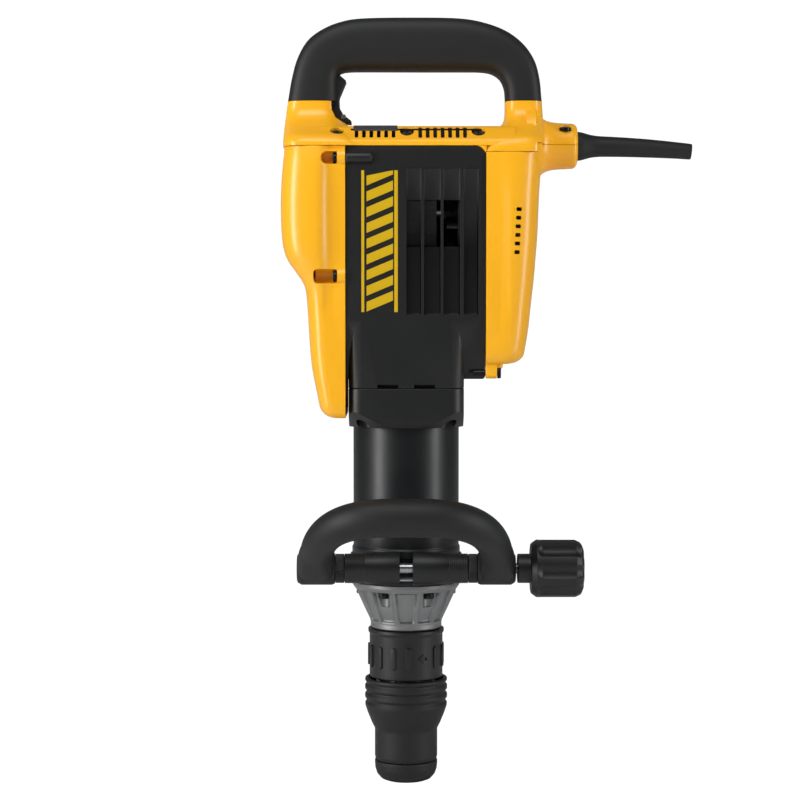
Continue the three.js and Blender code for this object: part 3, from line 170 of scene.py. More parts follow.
def catmull(points, count):
    # a smooth curve through rows of any width, at count even parameter values
    p = np.asarray(points, float)
    p = np.concatenate([2 * p[:1] - p[1:2], p, 2 * p[-1:] - p[-2:-1]])
    t = np.linspace(0, len(p) - 3, count)
    i = np.minimum(t.astype(int), len(p) - 4)
    f = (t - i)[:, None]
    a, b, c, d = p[i], p[i + 1], p[i + 2], p[i + 3]
    bend = 2 * a - 5 * b + 4 * c - d
    twist = 3 * b - a - 3 * c + d
    return 0.5 * (2 * b + (c - a) * f + bend * f ** 2 + twist * f ** 3)


def closedMesh(name, rings, capped=True):
    # rings: (rows, columns, 3) in mm, each row a closed loop. Quads join the rows, and a flat face
    # closes each end.
    rows, columns = rings.shape[:2]
    index = np.arange(rows * columns).reshape(rows, columns)
    nextColumn = np.roll(index, -1, 1)
    if capped:
        quads = np.stack([index[:-1], nextColumn[:-1], nextColumn[1:], index[1:]], -1).reshape(-1, 4)
        faces = quads.tolist() + [index[0, ::-1].tolist(), index[-1].tolist()]
    else:
        down = np.roll(index, -1, 0)
        quads = np.stack([index, nextColumn, np.roll(nextColumn, -1, 0), down], -1).reshape(-1, 4)
        faces = quads.tolist()
    mesh = bpy.data.meshes.new(name)
    mesh.from_pydata((rings.reshape(-1, 3) * mm).tolist(), [], faces)
    if volumeOf(mesh) < 0:
        mesh.flip_normals()
    mesh.validate()
    return mesh


def pointsOf(mesh):
    co = np.zeros(len(mesh.vertices) * 3)
    mesh.vertices.foreach_get("co", co)
    return co.reshape(-1, 3)


def volumeOf(mesh):
    mesh.calc_loop_triangles()
    tri = np.zeros(len(mesh.loop_triangles) * 3, np.int64)
    mesh.loop_triangles.foreach_get("vertices", tri)
    corner = pointsOf(mesh)[tri.reshape(-1, 3)]
    return float(np.einsum("ij,ij->i", corner[:, 0], np.cross(corner[:, 1], corner[:, 2])).sum())


def stacked(axis, a, b, depth):
    # arrays of first coordinate, second coordinate and depth to X, Y and Z
    a, b, depth = np.broadcast_arrays(a, b, depth)
    return np.stack({"x": (depth, a, b), "y": (a, depth, b), "z": (a, b, depth)}[axis], -1)


def prism(name, axis, outline, low, high, edge=0.0, steps=3):
    # an outline carried along an axis; both rims are quarter-rounds: inset e(1-cos t), depth e(1-sin t)
    here = np.asarray(outline, float)
    along = np.roll(here, -1, 0) - np.roll(here, 1, 0)
    normal = np.stack([along[:, 1], -along[:, 0]], -1)
    normal /= np.maximum(np.linalg.norm(normal, axis=1), 1e-9)[:, None]
    area = 0.5 * np.sum(here[:, 0] * np.roll(here[:, 1], -1) - np.roll(here[:, 0], -1) * here[:, 1])
    normal *= np.sign(area)
    t = np.linspace(0, np.pi / 2, steps + 1) if edge else np.array([np.pi / 2])
    inset = edge * (1 - np.sin(t))
    depth = edge * (1 - np.cos(t))
    depths = np.concatenate([low + depth, high - depth[::-1]]) if edge else np.array([low, high])
    insets = np.concatenate([inset, inset[::-1]]) if edge else np.array([0.0, 0.0])
    flat = here[None] - normal[None] * insets[:, None, None]
    return closedMesh(name, stacked(axis, flat[..., 0], flat[..., 1], depths[:, None]))


def turned(name, axis, centre, profile, sides=96):
    # rows of (radius, height) revolved about an axis through centre; a first and last radius of 0 closes it
    table = np.asarray(profile, float)
    onAxis = table[0, 0] < 1e-9 and table[-1, 0] < 1e-9
    table = table[1:-1] if onAxis else table
    t = np.linspace(0, 2 * np.pi, sides, endpoint=False)
    a = centre[0] + table[:, 0, None] * np.cos(t)
    b = centre[1] + table[:, 0, None] * np.sin(t)
    return closedMesh(name, stacked(axis, a, b, table[:, 1, None]), capped=onAxis)


def rod(name, axis, centre, r, low, high, sides=48, edge=0.0):
    flat = [(0, low), (r, low, edge), (r, high, edge), (0, high)]
    return turned(name, axis, centre, roundCorners(flat, 4), sides)


def bent(value, power):
    # a cosine or sine raised to 2 / power with its sign kept, which makes a circle a superellipse
    return np.sign(value) * np.abs(value) ** (2 / power)


def superLoop(x0, x1, half, power, count=72):
    # |x|^p + |y|^p = 1 stretched to x0..x1 and -half..half; returns (count, 2)
    t = np.linspace(0, 2 * np.pi, count, endpoint=False)
    c, s = np.cos(t), np.sin(t)
    x = bent(c, power)
    y = bent(s, power)
    return np.stack([(x0 + x1) / 2 + (x1 - x0) / 2 * x, half * y], -1)


def span(side, near, far):
    # two distances to one side of a middle plane, lower value first
    return tuple(sorted((side * near, side * far)))


def hexagonAt(centre, r):
    return [(centre[0] + r * math.cos(i * math.pi / 3), centre[1] + r * math.sin(i * math.pi / 3))
            for i in range(6)]


def boxMesh(name, x, y, z, edge=0.0):
    return prism(name, "z", roundCorners([(x[0], y[0], edge), (x[1], y[0], edge), (x[1], y[1], edge),
                                          (x[0], y[1], edge)], 3), z[0], z[1], edge)


def swept(name, path, radius, sides=48, reference=(0, 0, 1), squash=1.0):
    # a round section carried along a path: P(s, t) = C(s) + r(s) (cos t N(s) + sin t B)
    centre = np.asarray(path, float)
    along = np.gradient(centre, axis=0)
    along /= np.linalg.norm(along, axis=1)[:, None]
    side = np.cross(along, np.asarray(reference, float))
    side /= np.linalg.norm(side, axis=1)[:, None]
    up = np.cross(side, along)
    t = np.linspace(0, 2 * np.pi, sides, endpoint=False)
    r = np.broadcast_to(radius, len(centre))[:, None, None]
    ring = (side[:, None] * np.cos(t)[:, None] + squash * up[:, None] * np.sin(t)[:, None]) * r
    return closedMesh(name, centre[:, None] + ring)


def place(name, mesh, look, body="housing", nodes=(), slotName=None, smooth=40, cut=(), joined=(),
          cutFirst=()):
    # makes the object, applies the booleans, and ties it to its CAD body
    thing = bpy.data.objects.new(name, mesh)
    bpy.context.scene.collection.objects.link(thing)
    helpers = []
    for kind, shapes in (("DIFFERENCE", cutFirst), ("UNION", joined), ("DIFFERENCE", cut)):
        for shape in shapes:
            helper = bpy.data.objects.new(shape.name, shape)
            bpy.context.scene.collection.objects.link(helper)
            step = thing.modifiers.new(kind, "BOOLEAN")
            step.operation = kind
            step.solver = "EXACT"
            step.object = helper
            helpers.append(helper)
    if helpers:
        graph = bpy.context.evaluated_depsgraph_get()
        solid = bpy.data.meshes.new_from_object(thing.evaluated_get(graph))
        solid.name = name
        if solid.validate():
            print("mesh mended:", name)
        thing.modifiers.clear()
        thing.data = solid
        for helper in helpers:
            shape = helper.data
            bpy.data.objects.remove(helper)
            bpy.data.meshes.remove(shape)
    thing.data.materials.clear()
    thing.data.materials.append(paint[look])
    thing.data.polygons.foreach_set("material_index", np.zeros(len(thing.data.polygons), np.int32))
    thing.data.polygons.foreach_set("use_smooth", np.ones(len(thing.data.polygons), bool))
    thing.data.set_sharp_from_angle(angle=math.radians(smooth))
    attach(thing, body)
    if nodes:
        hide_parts(*([nodes] if isinstance(nodes, str) else nodes))
    assert len(thing.data.polygons) > 0, name + " has no faces"
    print("piece:", name, len(thing.data.polygons))
    return thing


# main housing

housing = {
    "left": -48.0, "right": 62.8, "low": 330.5, "top": 514.9, "deep": 50.0, "neckLow": 323.4,
    "louvres": [(0.1, 11.8), (14.0, 27.2), (29.3, 42.5), (45.4, 57.1)], "louvreZ": (381.7, 497.5),
    "motorZ": 465.0, "crankZ": 385.375, "wheelZ": 434.375,
}
h = housing
panel = prism("panel", "y", roundCorners([(h["left"], h["low"]), (h["right"], h["low"], 2.5),
              (h["right"], h["top"], 9), (h["left"], h["top"])]), -h["deep"], h["deep"], 0.8)
neckLoop = roundCorners([(-46, -50.02, 11), (46, -50.02, 11), (46, 50.02, 11), (-46, 50.02, 11)], 10)
neckColumn = prism("neckColumn", "z", neckLoop, h["neckLow"], 379, 0.4)


def shoulder(side, face):
    # a wedge that slopes the panel back beside the neck: its depth grows as z falls, z = 378 at the surface
    outline = [(face * 50.6, 379.5), (face * 37, 322), (face * 60, 322), (face * 60, 379.5)]
    return prism("shoulder", "x", outline, *span(side, 34, 80))


def slot(a, b, face):
    # a louvre's cutter: its floor starts near the surface at the top and runs down into the motor chamber
    low, high = h["louvreZ"]
    deep = 33 if face < 0 else 45
    outline = roundCorners([(face * 52, low), (face * 37, low, 1), (face * 34, 432), (face * deep, 440),
                            (face * max(deep, 42), 462), (face * 48.4, high, 1), (face * 52, high)], 3)
    return prism("slot", "x", outline, a, b, 0.9)


def notch(x0, x1):
    return boxMesh("notch", (x0, x1), (-53, -41), (h["neckLow"] - 1, h["neckLow"] + 2.9), 0.6)


place("mainHousing", panel, "black", nodes="main_housing", smooth=35,
      cutFirst=[shoulder(1, 1), shoulder(1, -1), shoulder(-1, 1), shoulder(-1, -1)], joined=[
    neckColumn,
    rod("boss", "x", (-49.4, 505.5), 4.6, -48, -27, 40, 1.2),
    rod("boss", "x", (49.4, 505.5), 4.6, -48, -27, 40, 1.2),
], cut=[
    rod("c", "z", (0, 0), 40.3, 322, 343.3, 96),
    rod("c", "z", (0, 0), 34.3, 342, 357.3, 96),
    boxMesh("c", (-12, 19.6), (-32.5, 32.5), (356, 385.4)),
    rod("c", "x", (0, h["crankZ"]), 32.5, -12.001, 19.601, 80),
    rod("c", "x", (0, h["crankZ"]), 26.0, 18, 34, 64),
    rod("c", "x", (0, h["crankZ"]), 13.2, 18, 64, 48),
    rod("c", "x", (0, h["crankZ"]), 20.3, 49, 64, 48),
    rod("c", "x", (0, h["wheelZ"]), 6.3, 50, 64, 32),
    rod("c", "x", (0, h["motorZ"]), 44.5, -49, 45.5, 96),
    rod("c", "x", (0, h["motorZ"]), 14.3, 45, 60, 48),
    rod("c", "x", (0, h["motorZ"]), 7, 45, 64, 32),
    boxMesh("c", (-49, -15), (-40, 40), (361, 411)),
    rod("c", "y", (-30, 386), 11.3, 39, 51, 64),
    rod("c", "x", (-46, 505.5), 2.5, -49, -34, 24),
    rod("c", "x", (-46, 412.2), 2.5, -49, -34, 24),
    rod("c", "x", (-41, 335.6), 2.5, 50, 64, 24),
    notch(-23, -6), notch(6, 23),
] + [slot(a, b, face) for a, b in h["louvres"] for face in (1, -1)])
print("stage: main housing")

# printed panel: two bars with slanted bands between them, 0.15 mm proud
band = {"bars": [(-35.5, -33.2), (-9.5, -6.7)], "z": (383.9, 495.6), "fill": (-31.4, -10.5), "count": 9}
lowZ, highZ = band["z"]
pitch = (highZ - lowZ) / band["count"]
stripes = []
for k in range(band["count"]):
    # a parallelogram whose upper edge leans with a slope of 0.42, trimmed to the panel's height
    z0 = lowZ + k * pitch + 0.4
    lean = 0.42 * (band["fill"][1] - band["fill"][0])
    corners = [(band["fill"][0], z0), (band["fill"][1], min(z0 + lean, highZ)),
               (band["fill"][1], min(z0 + lean + 0.62 * pitch, highZ)), (band["fill"][0], z0 + 0.62 * pitch)]
    if corners[1][1] < corners[2][1] - 0.5:
        stripes.append(prism("stripe", "y", np.array(corners), -50.35, -50.06))
for k, (a, b) in enumerate(band["bars"]):
    place(f"printedBar{k}", prism("bar", "y", np.array([(a, lowZ), (b, lowZ), (b, highZ), (a, highZ)]),
                                  -50.35, -50.06), "film")
for k, stripe in enumerate(stripes):
    place(f"printedStripe{k}", stripe, "film")

# neck flange and barrel

flange = {"low": 291.6, "high": 323.1, "screw": (33.5, 38.0), "recess": 6.4}
block = prism("neckFlange", "z", neckLoop * 0.9995, flange["low"], flange["high"], 0.6)
coneLow, coneHigh = flange["low"] - 0.5, flange["high"] + 1
collarCut = turned("collarCut", "z", (0, 0), [(50.0, coneLow), (90, coneLow), (90, coneHigh),
                                             (50.0 + (coneHigh - coneLow), coneHigh)], 160)
corners4 = [(sx * flange["screw"][0], sy * flange["screw"][1]) for sx in (1, -1) for sy in (1, -1)]
place("neckFlange", block, "black", nodes="neck_flange", smooth=35, cut=[
    collarCut, rod("c", "z", (0, 0), 43.3, 290, 325, 128),
] + [rod("c", "z", c, flange["recess"], 285, 309, 40) for c in corners4])
for k, c in enumerate(corners4):
    head = rod(f"flangeScrew{k}", "z", c, 4.6, 298.5, 308.7, 40, 0.6)
    place(f"flangeScrew{k}", head, "oxide", cut=[
        prism("c", "z", roundCorners(hexagonAt(c, 2.9)), 296, 301.5)])

barrelShape = roundCorners([
    (21.3, 164.8, 0.3), (43.6, 164.8, 0.6), (43.6, 168, 0.6), (40, 168, 0.6), (40, 187, 0.6),
    (44, 187.8, 1.2),
    (44, 192.5, 2), (43, 194.2, 1), (43, 323.1, 0.3), (40, 323.1, 0.2), (40, 343, 0.6), (34.3, 343, 0.3),
    (34.3, 211.7, 0.1), (29.3, 211.7, 0.1), (29.3, 200, 1), (11.3, 200, 0.4), (11.3, 182, 0.4),
    (15.1, 182, 0.2),
    (15.1, 178.3, 0.2), (21.3, 178.3, 0.2)], 4)
place("barrel", turned("barrel", "z", (0, 0), barrelShape, 160), "enamel", nodes="barrel", smooth=30)
print("stage: neck and barrel")

# yellow covers


def coverSkin(name, stations, sideX, power, inset, floor, roof, bulge=None, rows=90, columns=120):
    # rows of (z, edge x, half depth) splined in z. Each section is half a superellipse of the given power:
    # x = sideX + (edge - sideX) |sin t|^(2/p), y = -half sign(cos t) |cos t|^(2/p), t from 0 to pi
    table = catmull(stations, 400)
    z = floor + (roof - floor) * (0.5 - 0.5 * np.cos(np.pi * np.linspace(0, 1, rows)))
    source = np.maximum(table[:, 0], 0)
    keep = np.concatenate([[True], np.diff(source) > 1e-6])
    edge = np.interp(z, source[keep], table[keep, 1])
    half = np.interp(z, source[keep], table[keep, 2])
    side = np.sign(edge[0] - sideX)
    edge = edge - side * inset
    half = half - inset
    t = np.linspace(0, np.pi, columns)
    c, s = np.cos(t), np.sin(t)
    x = sideX + (edge[:, None] - sideX) * (np.abs(s) ** (2 / power))[None]
    y = -half[:, None] * bent(c, power)[None]
    if bulge is not None:
        y = y + bulge(x, y, z[:, None], 50.6 - inset)
    return closedMesh(name, np.stack([x, y, np.broadcast_to(z[:, None], x.shape)], -1))


coverScrewZ = (505.5, 412.2)
coverScrewY = 46
leftCover = {
    "plane": -48.3, "top": 514.9, "wall": 2.8, "power": 5.0,
    "stations": [(299.6, -60.0, 46.5), (300.4, -63.6, 48.0), (302.4, -66.9, 49.3), (305.5, -69.4, 50.1),
                 (309.5, -70.9, 50.6), (319.5, -72.8, 51.0), (337, -76.3, 51.2), (352, -78.0, 51.6),
                 (376, -79.5, 52.2), (392, -80.6, 53.0), (401, -81.6, 53.8), (408, -84.2, 54.6),
                 (416, -89.8, 55.6), (424, -95.4, 56.6), (431, -98.4, 57.3), (440, -100.2, 57.8),
                 (455, -101.2, 58.0), (472, -101.4, 58.0), (489, -100.7, 57.6), (503, -99.5, 56.4),
                 (514.9, -98.4, 53.6)],
}
lc = leftCover
lc["stations"] = [(z, x + 0.8, half) for z, x, half in lc["stations"]]


def smoothStep(value, low, high):
    f = np.clip((value - low) / (high - low), 0, 1)
    return f * f * (3 - 2 * f)


def leftRelief(x, y, z, flush):
    # the cover steps down to the housing along a raised rim at x > -54.5, and a crease bounds its dome
    # at x = -66
    face = np.sign(y)
    rim = smoothStep(x, -56.2, -54.6) * smoothStep(z, 374, 381)
    dish = smoothStep(-np.abs(x + 60.5), -6.5, -2) * smoothStep(z, 376, 390)
    fall = smoothStep(x, -72, -52) * np.maximum(np.abs(y) - flush, 0)
    return face * (0.9 * rim - 1.0 * dish - fall)


outer = coverSkin("leftCover", lc["stations"], lc["plane"], lc["power"], 0, 299.6, lc["top"], leftRelief)
inner = coverSkin("c", lc["stations"], lc["plane"] + 3, lc["power"], lc["wall"] + 0.6, 303.4,
                  lc["top"] + 4, leftRelief)
scoops = []
for x, z, half, corner in ((-67.4, 505.5, 5.0, 4.8), (-73.4, 412.2, 5.6, 3.4)):
    outline = roundCorners([(x, z - half, corner), (-54.6, z - half), (-54.6, z + half),
                            (x, z + half, corner)])
    for face in (-1, 1):
        scoops.append(prism("c", "y", outline, *span(face, 48.5, 64)))
        scoops.append(rod("c", "x", (face * 48.5, z), half - 0.03, x + 0.5, -54.6, 48, 3.0))
screwAt = [(y, z) for z in coverScrewZ for y in (1, -1)]
posts = [rod("b", "x", (y * coverScrewY, z), 7.4, -64, lc["plane"], 40) for y, z in screwAt]
backing = [boxMesh("b", (-72, lc["plane"]), (y * 46.5 - 4.5, y * 46.5 + 4.5), (z - 8, z + 8)) for y,
           z in screwAt]
bearingSeat = rod("b", "x", (0, h["motorZ"]), 14.5, -99, -75.7, 64)
bearingBore = rod("c", "x", (0, h["motorZ"]), 11.3, -85.5, -70, 64)
screwHoles = [rod("c", "x", (y * coverScrewY, z), 2.5, -60, -40, 24) for y, z in screwAt]
place("leftCover", outer, "yellow", nodes="left_cover", smooth=32, cutFirst=[inner],
      joined=posts + backing + [bearingSeat], cut=scoops + [bearingBore] + screwHoles)
print("stage: left cover")

rearCover = {
    "plane": 63.1, "top": 517.6, "split": 510.2, "step": 103.6, "wall": 2.8, "power": 4.6,
    "stations": [(342.5, 84.0, 46.0), (343.3, 88.4, 47.6), (345.5, 92.6, 49.0), (348.6, 95.2, 50.0),
                 (352.5, 96.3, 50.6), (370, 99.2, 51.6), (389, 101.2, 52.4), (409, 103.4, 53.4),
                 (428, 105.0, 54.4), (447, 106.4, 55.0), (473, 107.4, 55.2), (490, 108.4, 54.6),
                 (500, 109.2, 53.6), (517.6, 110.4, 51.4)],
}
rc = rearCover
rc["stations"] = [(z, x - 1.0, half) for z, x, half in rc["stations"]]
boss = {"z": 517.8, "r": 18.2, "end": 138.3, "from": 96.0}


def bossMesh(name):
    # the cord boss flares into the cover: r = R + 0.7 clip((134 - x) / 24) + 16 exp(-(x - 103.5) / 4.6),
    # and a quarter-round of 4.5 closes its outer end
    x = np.concatenate([np.linspace(boss["from"], boss["end"] - 4.5, 60),
                        boss["end"] - 4.5 * (1 - np.sin(np.linspace(0.15, np.pi / 2, 10)))])
    r = boss["r"] + 0.7 * np.clip((134 - x) / 24, 0, 1) + 16 * np.exp(-np.maximum(x - 103.5, 0) / 4.6)
    r = np.where(x < 103.5, boss["r"] + 16, r)
    tail = np.clip((x - (boss["end"] - 4.5)) / 4.5, 0, 1)
    r = r - 4.5 * (1 - np.sqrt(np.clip(1 - tail ** 2, 0, 1)))
    profile = np.concatenate([[[0, x[0]]], np.stack([r, x], -1), [[0, x[-1]]]])
    return turned(name, "x", (0, boss["z"]), profile, 96)


def rearRelief(x, y, z, flush):
    face = np.sign(y)
    fall = (1 - smoothStep(x, 66, 82)) * np.maximum(np.abs(y) - flush, 0)
    rim = (1 - smoothStep(x, 70.5, 73)) * smoothStep(z, 362, 372) * (1 - smoothStep(z, 503, 510))
    dish = smoothStep(-np.abs(x - 76.5), -7, -2) * smoothStep(z, 360, 400) * (1 - smoothStep(z, 470, 508))
    return face * (0.8 * rim - 1.4 * dish - fall)


bossHollow = [rod("c", "x", (0, boss["z"]), 9.0, 117.7, 140, 48),
              rod("c", "x", (0, boss["z"]), 12.7, 117.7, 124.3, 48),
              rod("c", "x", (0, boss["z"]), 7.0, 60, 118, 40)]
rearOuter = coverSkin("rearCover", rc["stations"], rc["plane"], rc["power"], 0, 342.5, rc["top"], rearRelief)
rearInner = coverSkin("c", rc["stations"], rc["plane"] - 3, rc["power"], rc["wall"] + 0.6, 346.4, 509.0,
                      rearRelief)
ventRows = [429.6 + 6.75 * i for i in range(6)]


def rearVent(z, face):
    # one short slot; the column of slots leans with the cover's edge
    low = 85.2 + 0.045 * (z - 431)
    high = 89.4 + 0.045 * (z - 431)
    outline = roundCorners([(low, z, 1), (high, z, 1), (high, z + 3.1, 1), (low, z + 3.1, 1)])
    return prism("c", "y", outline, *span(face, 35, 62))


place("rearCover", rearOuter, "yellow", nodes="right_cover", smooth=32,
      cutFirst=[rearInner], joined=[
    bossMesh("b"),
    prism("lug", "x", roundCorners([(-46, 331, 3), (-36, 331, 3), (-36, 349, 1), (-46, 349, 1)]), 63.1,
          72.1, 0.8),
    prism("lug", "x", roundCorners([(-44, 338, 3), (-20, 338, 3), (-20, 349, 1), (-44, 349, 1)]), 63.1,
          77, 3),
], cut=[
    boxMesh("c", (50, rc["step"]), (-70, 70), (rc["split"], 545)),
    boxMesh("c", (50, 160), (-70, 70), (boss["z"] - 0.15, 560)),
    rod("c", "x", (-41, 335.6), 2.5, 60, 75, 24),
] + [rearVent(z, face) for z in ventRows for face in (1, -1)])
print("stage: rear cover")

# handle base

handle = {"deep": 19.0, "power": 3.4, "join": 553.0, "screwY": -40.5, "screwZ": 523.0, "tilt": 20.0}
dStations = np.array([
    (-98.6, 522, -40, 522), (-98.2, 532, -49, 532), (-97.4, 540, -53.6, 540), (-96.3, 548, -54.8, 548),
    (-95, 557, -55, 556), (-92.6, 571, -55, 566), (-88.2, 587, -54.6, 573.4), (-80.6, 601, -51.6, 576.6),
    (-69.6, 610.2, -46, 577.6), (-54, 617, -38, 577.8), (-34, 620.2, -26, 577.8), (12, 620.8, 12, 577.7),
    (44, 620, 44, 577.7), (64, 616.4, 60, 577.5), (81, 609.8, 69, 575.9), (94.4, 599.6, 75.4, 571.6),
    (103.4, 586.6, 78.8, 565), (107.6, 572, 79.8, 558), (109.2, 557, 79.9, 551), (110.2, 545, 79.9, 543),
    (110.8, 534, 79.6, 534), (111.2, 522, 74, 522)])


def dBody(name, clearance=0.0, rows=170, columns=64):
    # section: |a|^p + |b|^p = 1 between an outer and an inner point, half depth 19
    table = catmull(dStations, rows)
    outer, inner = table[:, :2], table[:, 2:]
    t = np.linspace(0, 2 * np.pi, columns, endpoint=False)
    power = handle["power"]
    a = bent(np.cos(t), power)
    b = bent(np.sin(t), power)
    middle, reach = (outer + inner) / 2, (outer - inner) / 2
    length = np.linalg.norm(reach, axis=1)[:, None]
    reach = reach * (1 + clearance / length)
    flat = middle[:, None] + reach[:, None] * a[None, :, None]
    y = np.broadcast_to((handle["deep"] + clearance) * b, flat.shape[:2])
    return closedMesh(name, np.stack([flat[..., 0], y, flat[..., 1]], -1))


def legFlare(name, rows, columns=72):
    # a leg spreading down to the covers: superellipse sections splined between rows of
    # (z, low x, high x, half depth, power)
    table = catmull(rows, 40)
    loops = np.stack([np.concatenate([superLoop(x0, x1, half, power, columns), np.full((columns, 1), z)], 1)
                      for z, x0, x1, half, power in table])
    return closedMesh(name, loops)


leftFlare = legFlare("b", [
    (515.2, -98.5, -30, 53.4, 5.0), (519, -98.6, -34, 52.6, 4.8), (524, -98.6, -38, 48, 4.2),
    (530, -98.3, -43, 37, 3.8), (537, -97.7, -50, 26, 3.5), (545, -96.8, -54.2, 20.2, 3.4),
    (556, -95.2, -55, 19, 3.4)])
rightFlare = legFlare("b", [
    (510.5, 56, 109.9, 51.8, 5.0), (516, 60, 110.3, 51.4, 4.8), (522, 66, 110.8, 48, 4.2),
    (529, 72, 111.0, 37, 3.8), (537, 78.4, 110.6, 26, 3.5), (545, 79.8, 110.2, 20.2, 3.4),
    (556, 79.8, 109.4, 19, 3.4)])
ledgeOutline = roundCorners([(-50.6, 515.2), (50.6, 515.2), (50.6, 519.6, 6), (36, 531.7, 12),
                             (-36, 531.7, 12),
                             (-50.6, 519.6, 6)], 8)
ledge = prism("handleBase", "x", ledgeOutline, -70, 86)
corner = boxMesh("b", (53.8, 63.3), (-50, 50), (505.9, 516))


def tiltedRod(name, x, r, low, high, sides=40, face=-1):
    # a rod along the slope of the ledge on either face, from its screw's seat
    made = rod(name, "z", (0, 0), r, low, high, sides)
    p = pointsOf(made)
    angle = math.radians(handle["tilt"]) * -face
    c, s = math.cos(angle), math.sin(angle)
    turnedBack = np.stack([p[:, 0], c * p[:, 1] - s * p[:, 2], s * p[:, 1] + c * p[:, 2]], -1)
    shift = np.array([x, face * -handle["screwY"], handle["screwZ"]]) * mm
    made.vertices.foreach_set("co", (turnedBack + shift).ravel())
    made.update()
    return made


screwX = [-55.0, 0.5, 57.1]
trigger = {"half": 10.5, "pivot": (-50.5, 541.0)}


def triggerWell():
    outline = np.array([(-71, 534.6), (-42, 534.6), (-42, 560), (-50, 577), (-71, 577)])
    return prism("c", "y", outline, -10.9, 10.9)


ventSlots = [(-40.8 + 5.85 * i, 2.9, 521.4, 527.2) for i in range(6)]
ventSlots += [(9.5 + 5.9 * i, 3.0, 521.2, 530.0) for i in range(7)]


def ventCutter(x, width, low, high, face):
    outline = roundCorners([(x, low, 0.8), (x + width, low, 0.8), (x + width, high, 0.8), (x, high, 0.8)], 3)
    return prism("c", "y", outline, *span(face, 33, 60))


baseVents = [ventCutter(*v, -1) for v in ventSlots]
backVents = [ventCutter(*v, 1) for v in ventSlots[6:]]
reveal = prism("c", "y", np.array([(-60.6, 560), (-60.4, 554.5), (-59.9, 546.2), (-56.6, 539.4),
                                   (-50.5, 535.6),
                                   (-44.2, 535.2), (-44.2, 560)]), -30, 30)
stem = dBody("b")
place("handleBase", ledge, "yellow", nodes="handle_base", smooth=32,
      joined=[leftFlare, rightFlare, corner, stem, bossMesh("b")], cut=[
    boxMesh("c", (-130, 150), (-60, 60), (handle["join"], 700)),
    boxMesh("c", (rc["step"] - 0.3, 160), (-70, 70), (480, boss["z"] + 0.15)),
    boxMesh("c", (-120, 53.8), (-70, 70), (480, 515.2)),
    boxMesh("c", (53.7, 62.9), (-70, 70), (480, 506.0)),
    boxMesh("c", (62.7, 160), (-70, 70), (480, 510.5)),
    rod("c", "y", (53.8, 505.9), 9.3, -60, 60, 64),
    boxMesh("c", (-44, 60), (-41, 41), (514, 529)),
    boxMesh("c", (-90, -60), (-15.8, 15.8), (514, 554)),
    boxMesh("c", (66, 102), (-40, 40), (509, 521)),
    boxMesh("c", (88.5, 102), (-12, 12), (515, 560)),
    triggerWell(), reveal,
    rod("c", "y", trigger["pivot"], 2.3, -30, 30, 24),
    rod("c", "z", (128, -13), 5.0, 529, 545, 40),
    rod("c", "z", (128, -13), 2.2, 515, 531, 24),
] + bossHollow + baseVents + backVents + [tiltedRod("c", x, 5.5, 0, 30,
                                                    face=f) for x in screwX for f in (-1, 1)]
  + [tiltedRod("c", x, 2.5, -30, 2, 24, face=f) for x in screwX for f in (-1, 1)])
# thin black nylon sheets behind the handle base's vents: painted shade, a dark sheet that stands in for the
# shade inside the vents
for name, face in (("ventShadeSheetFront", -1), ("ventShadeSheetBack", 1)):
    place(name, boxMesh(name, (-43.5, 59.5), span(face, 35, 36), (515.5, 528.8)), "nylon")
stripOutline = roundCorners([(-41.6, 528.4), (-33, 532.3, 1), (-33, 531), (-41.6, 527)])
strip = prism("indicatorStrip", "x", stripOutline, -42, -7, 0.3)
place("indicatorStrip", strip, "window")
print("stage: handle base")


def screwHead(name, r, height, tip, sides=48):
    # a pan head with a socket: profile from the tip of the shank to the socket's floor
    s = r * 0.5
    rows = roundCorners([(0, -tip), (2.2, -tip, 0.5), (2.2, 0.2, 0.1), (r, 0.2, 0.3), (r, height, 0.9),
                         (s, height, 0.25), (s * 0.8, height * 0.35, 0.1), (0, height * 0.35)], 4)
    return turned(name, "z", (0, 0), rows, sides)


def moved(mesh, rows, shift):
    # turns every point by a 3 by 3 matrix and shifts it
    p = pointsOf(mesh) @ np.array(rows, float).T + np.array(shift) * mm
    mesh.vertices.foreach_set("co", p.ravel())
    mesh.update()
    return mesh


tiltA = math.radians(handle["tilt"])
for k, (x, cad) in enumerate(zip(screwX, ("left", "middle", "right"))):
    for face in (-1, 1):
        a = -face * tiltA
        turnX = [[1, 0, 0], [0, math.cos(a), -math.sin(a)], [0, math.sin(a), math.cos(a)]]
        name = f"handleScrew{k}{'Front' if face < 0 else 'Back'}"
        place(name, moved(screwHead(name, 5.0, 3.6, 22), turnX, (x, -face * handle["screwY"],
                                                            handle["screwZ"])),
              "oxide",
              nodes=f"handle_screw_{cad}" if face < 0 else (), slotName="blackened_steel")
place("cordBossScrew", moved(screwHead("cordBossScrew", 4.6, 2.9, 19), np.eye(3), (128, -13, 529.2)),
      "oxide",
      nodes="cord_boss_screw")
toLeft = [[0, 0, -1], [0, 1, 0], [1, 0, 0]]
for k, (z, cad) in enumerate(zip(coverScrewZ, ("upper", "lower"))):
    for face in (-1, 1):
        name = f"coverScrew{k}{'Front' if face < 0 else 'Back'}"
        place(name, moved(screwHead(name, 4.6, 3.2, 19), toLeft, (-54.8, face * coverScrewY, z)), "oxide",
              nodes=f"left_cover_screw_{cad}" if face < 0 else (), slotName="blackened_steel")
toRight = [[0, 0, 1], [0, 1, 0], [-1, 0, 0]]
place("lugScrew", moved(screwHead("lugScrew", 4.6, 3.0, 19), toRight, (72.3, -41, 335.6)), "oxide",
      nodes="right_lug_screw")
print("stage: screws")

# rubber grip, trigger, boot


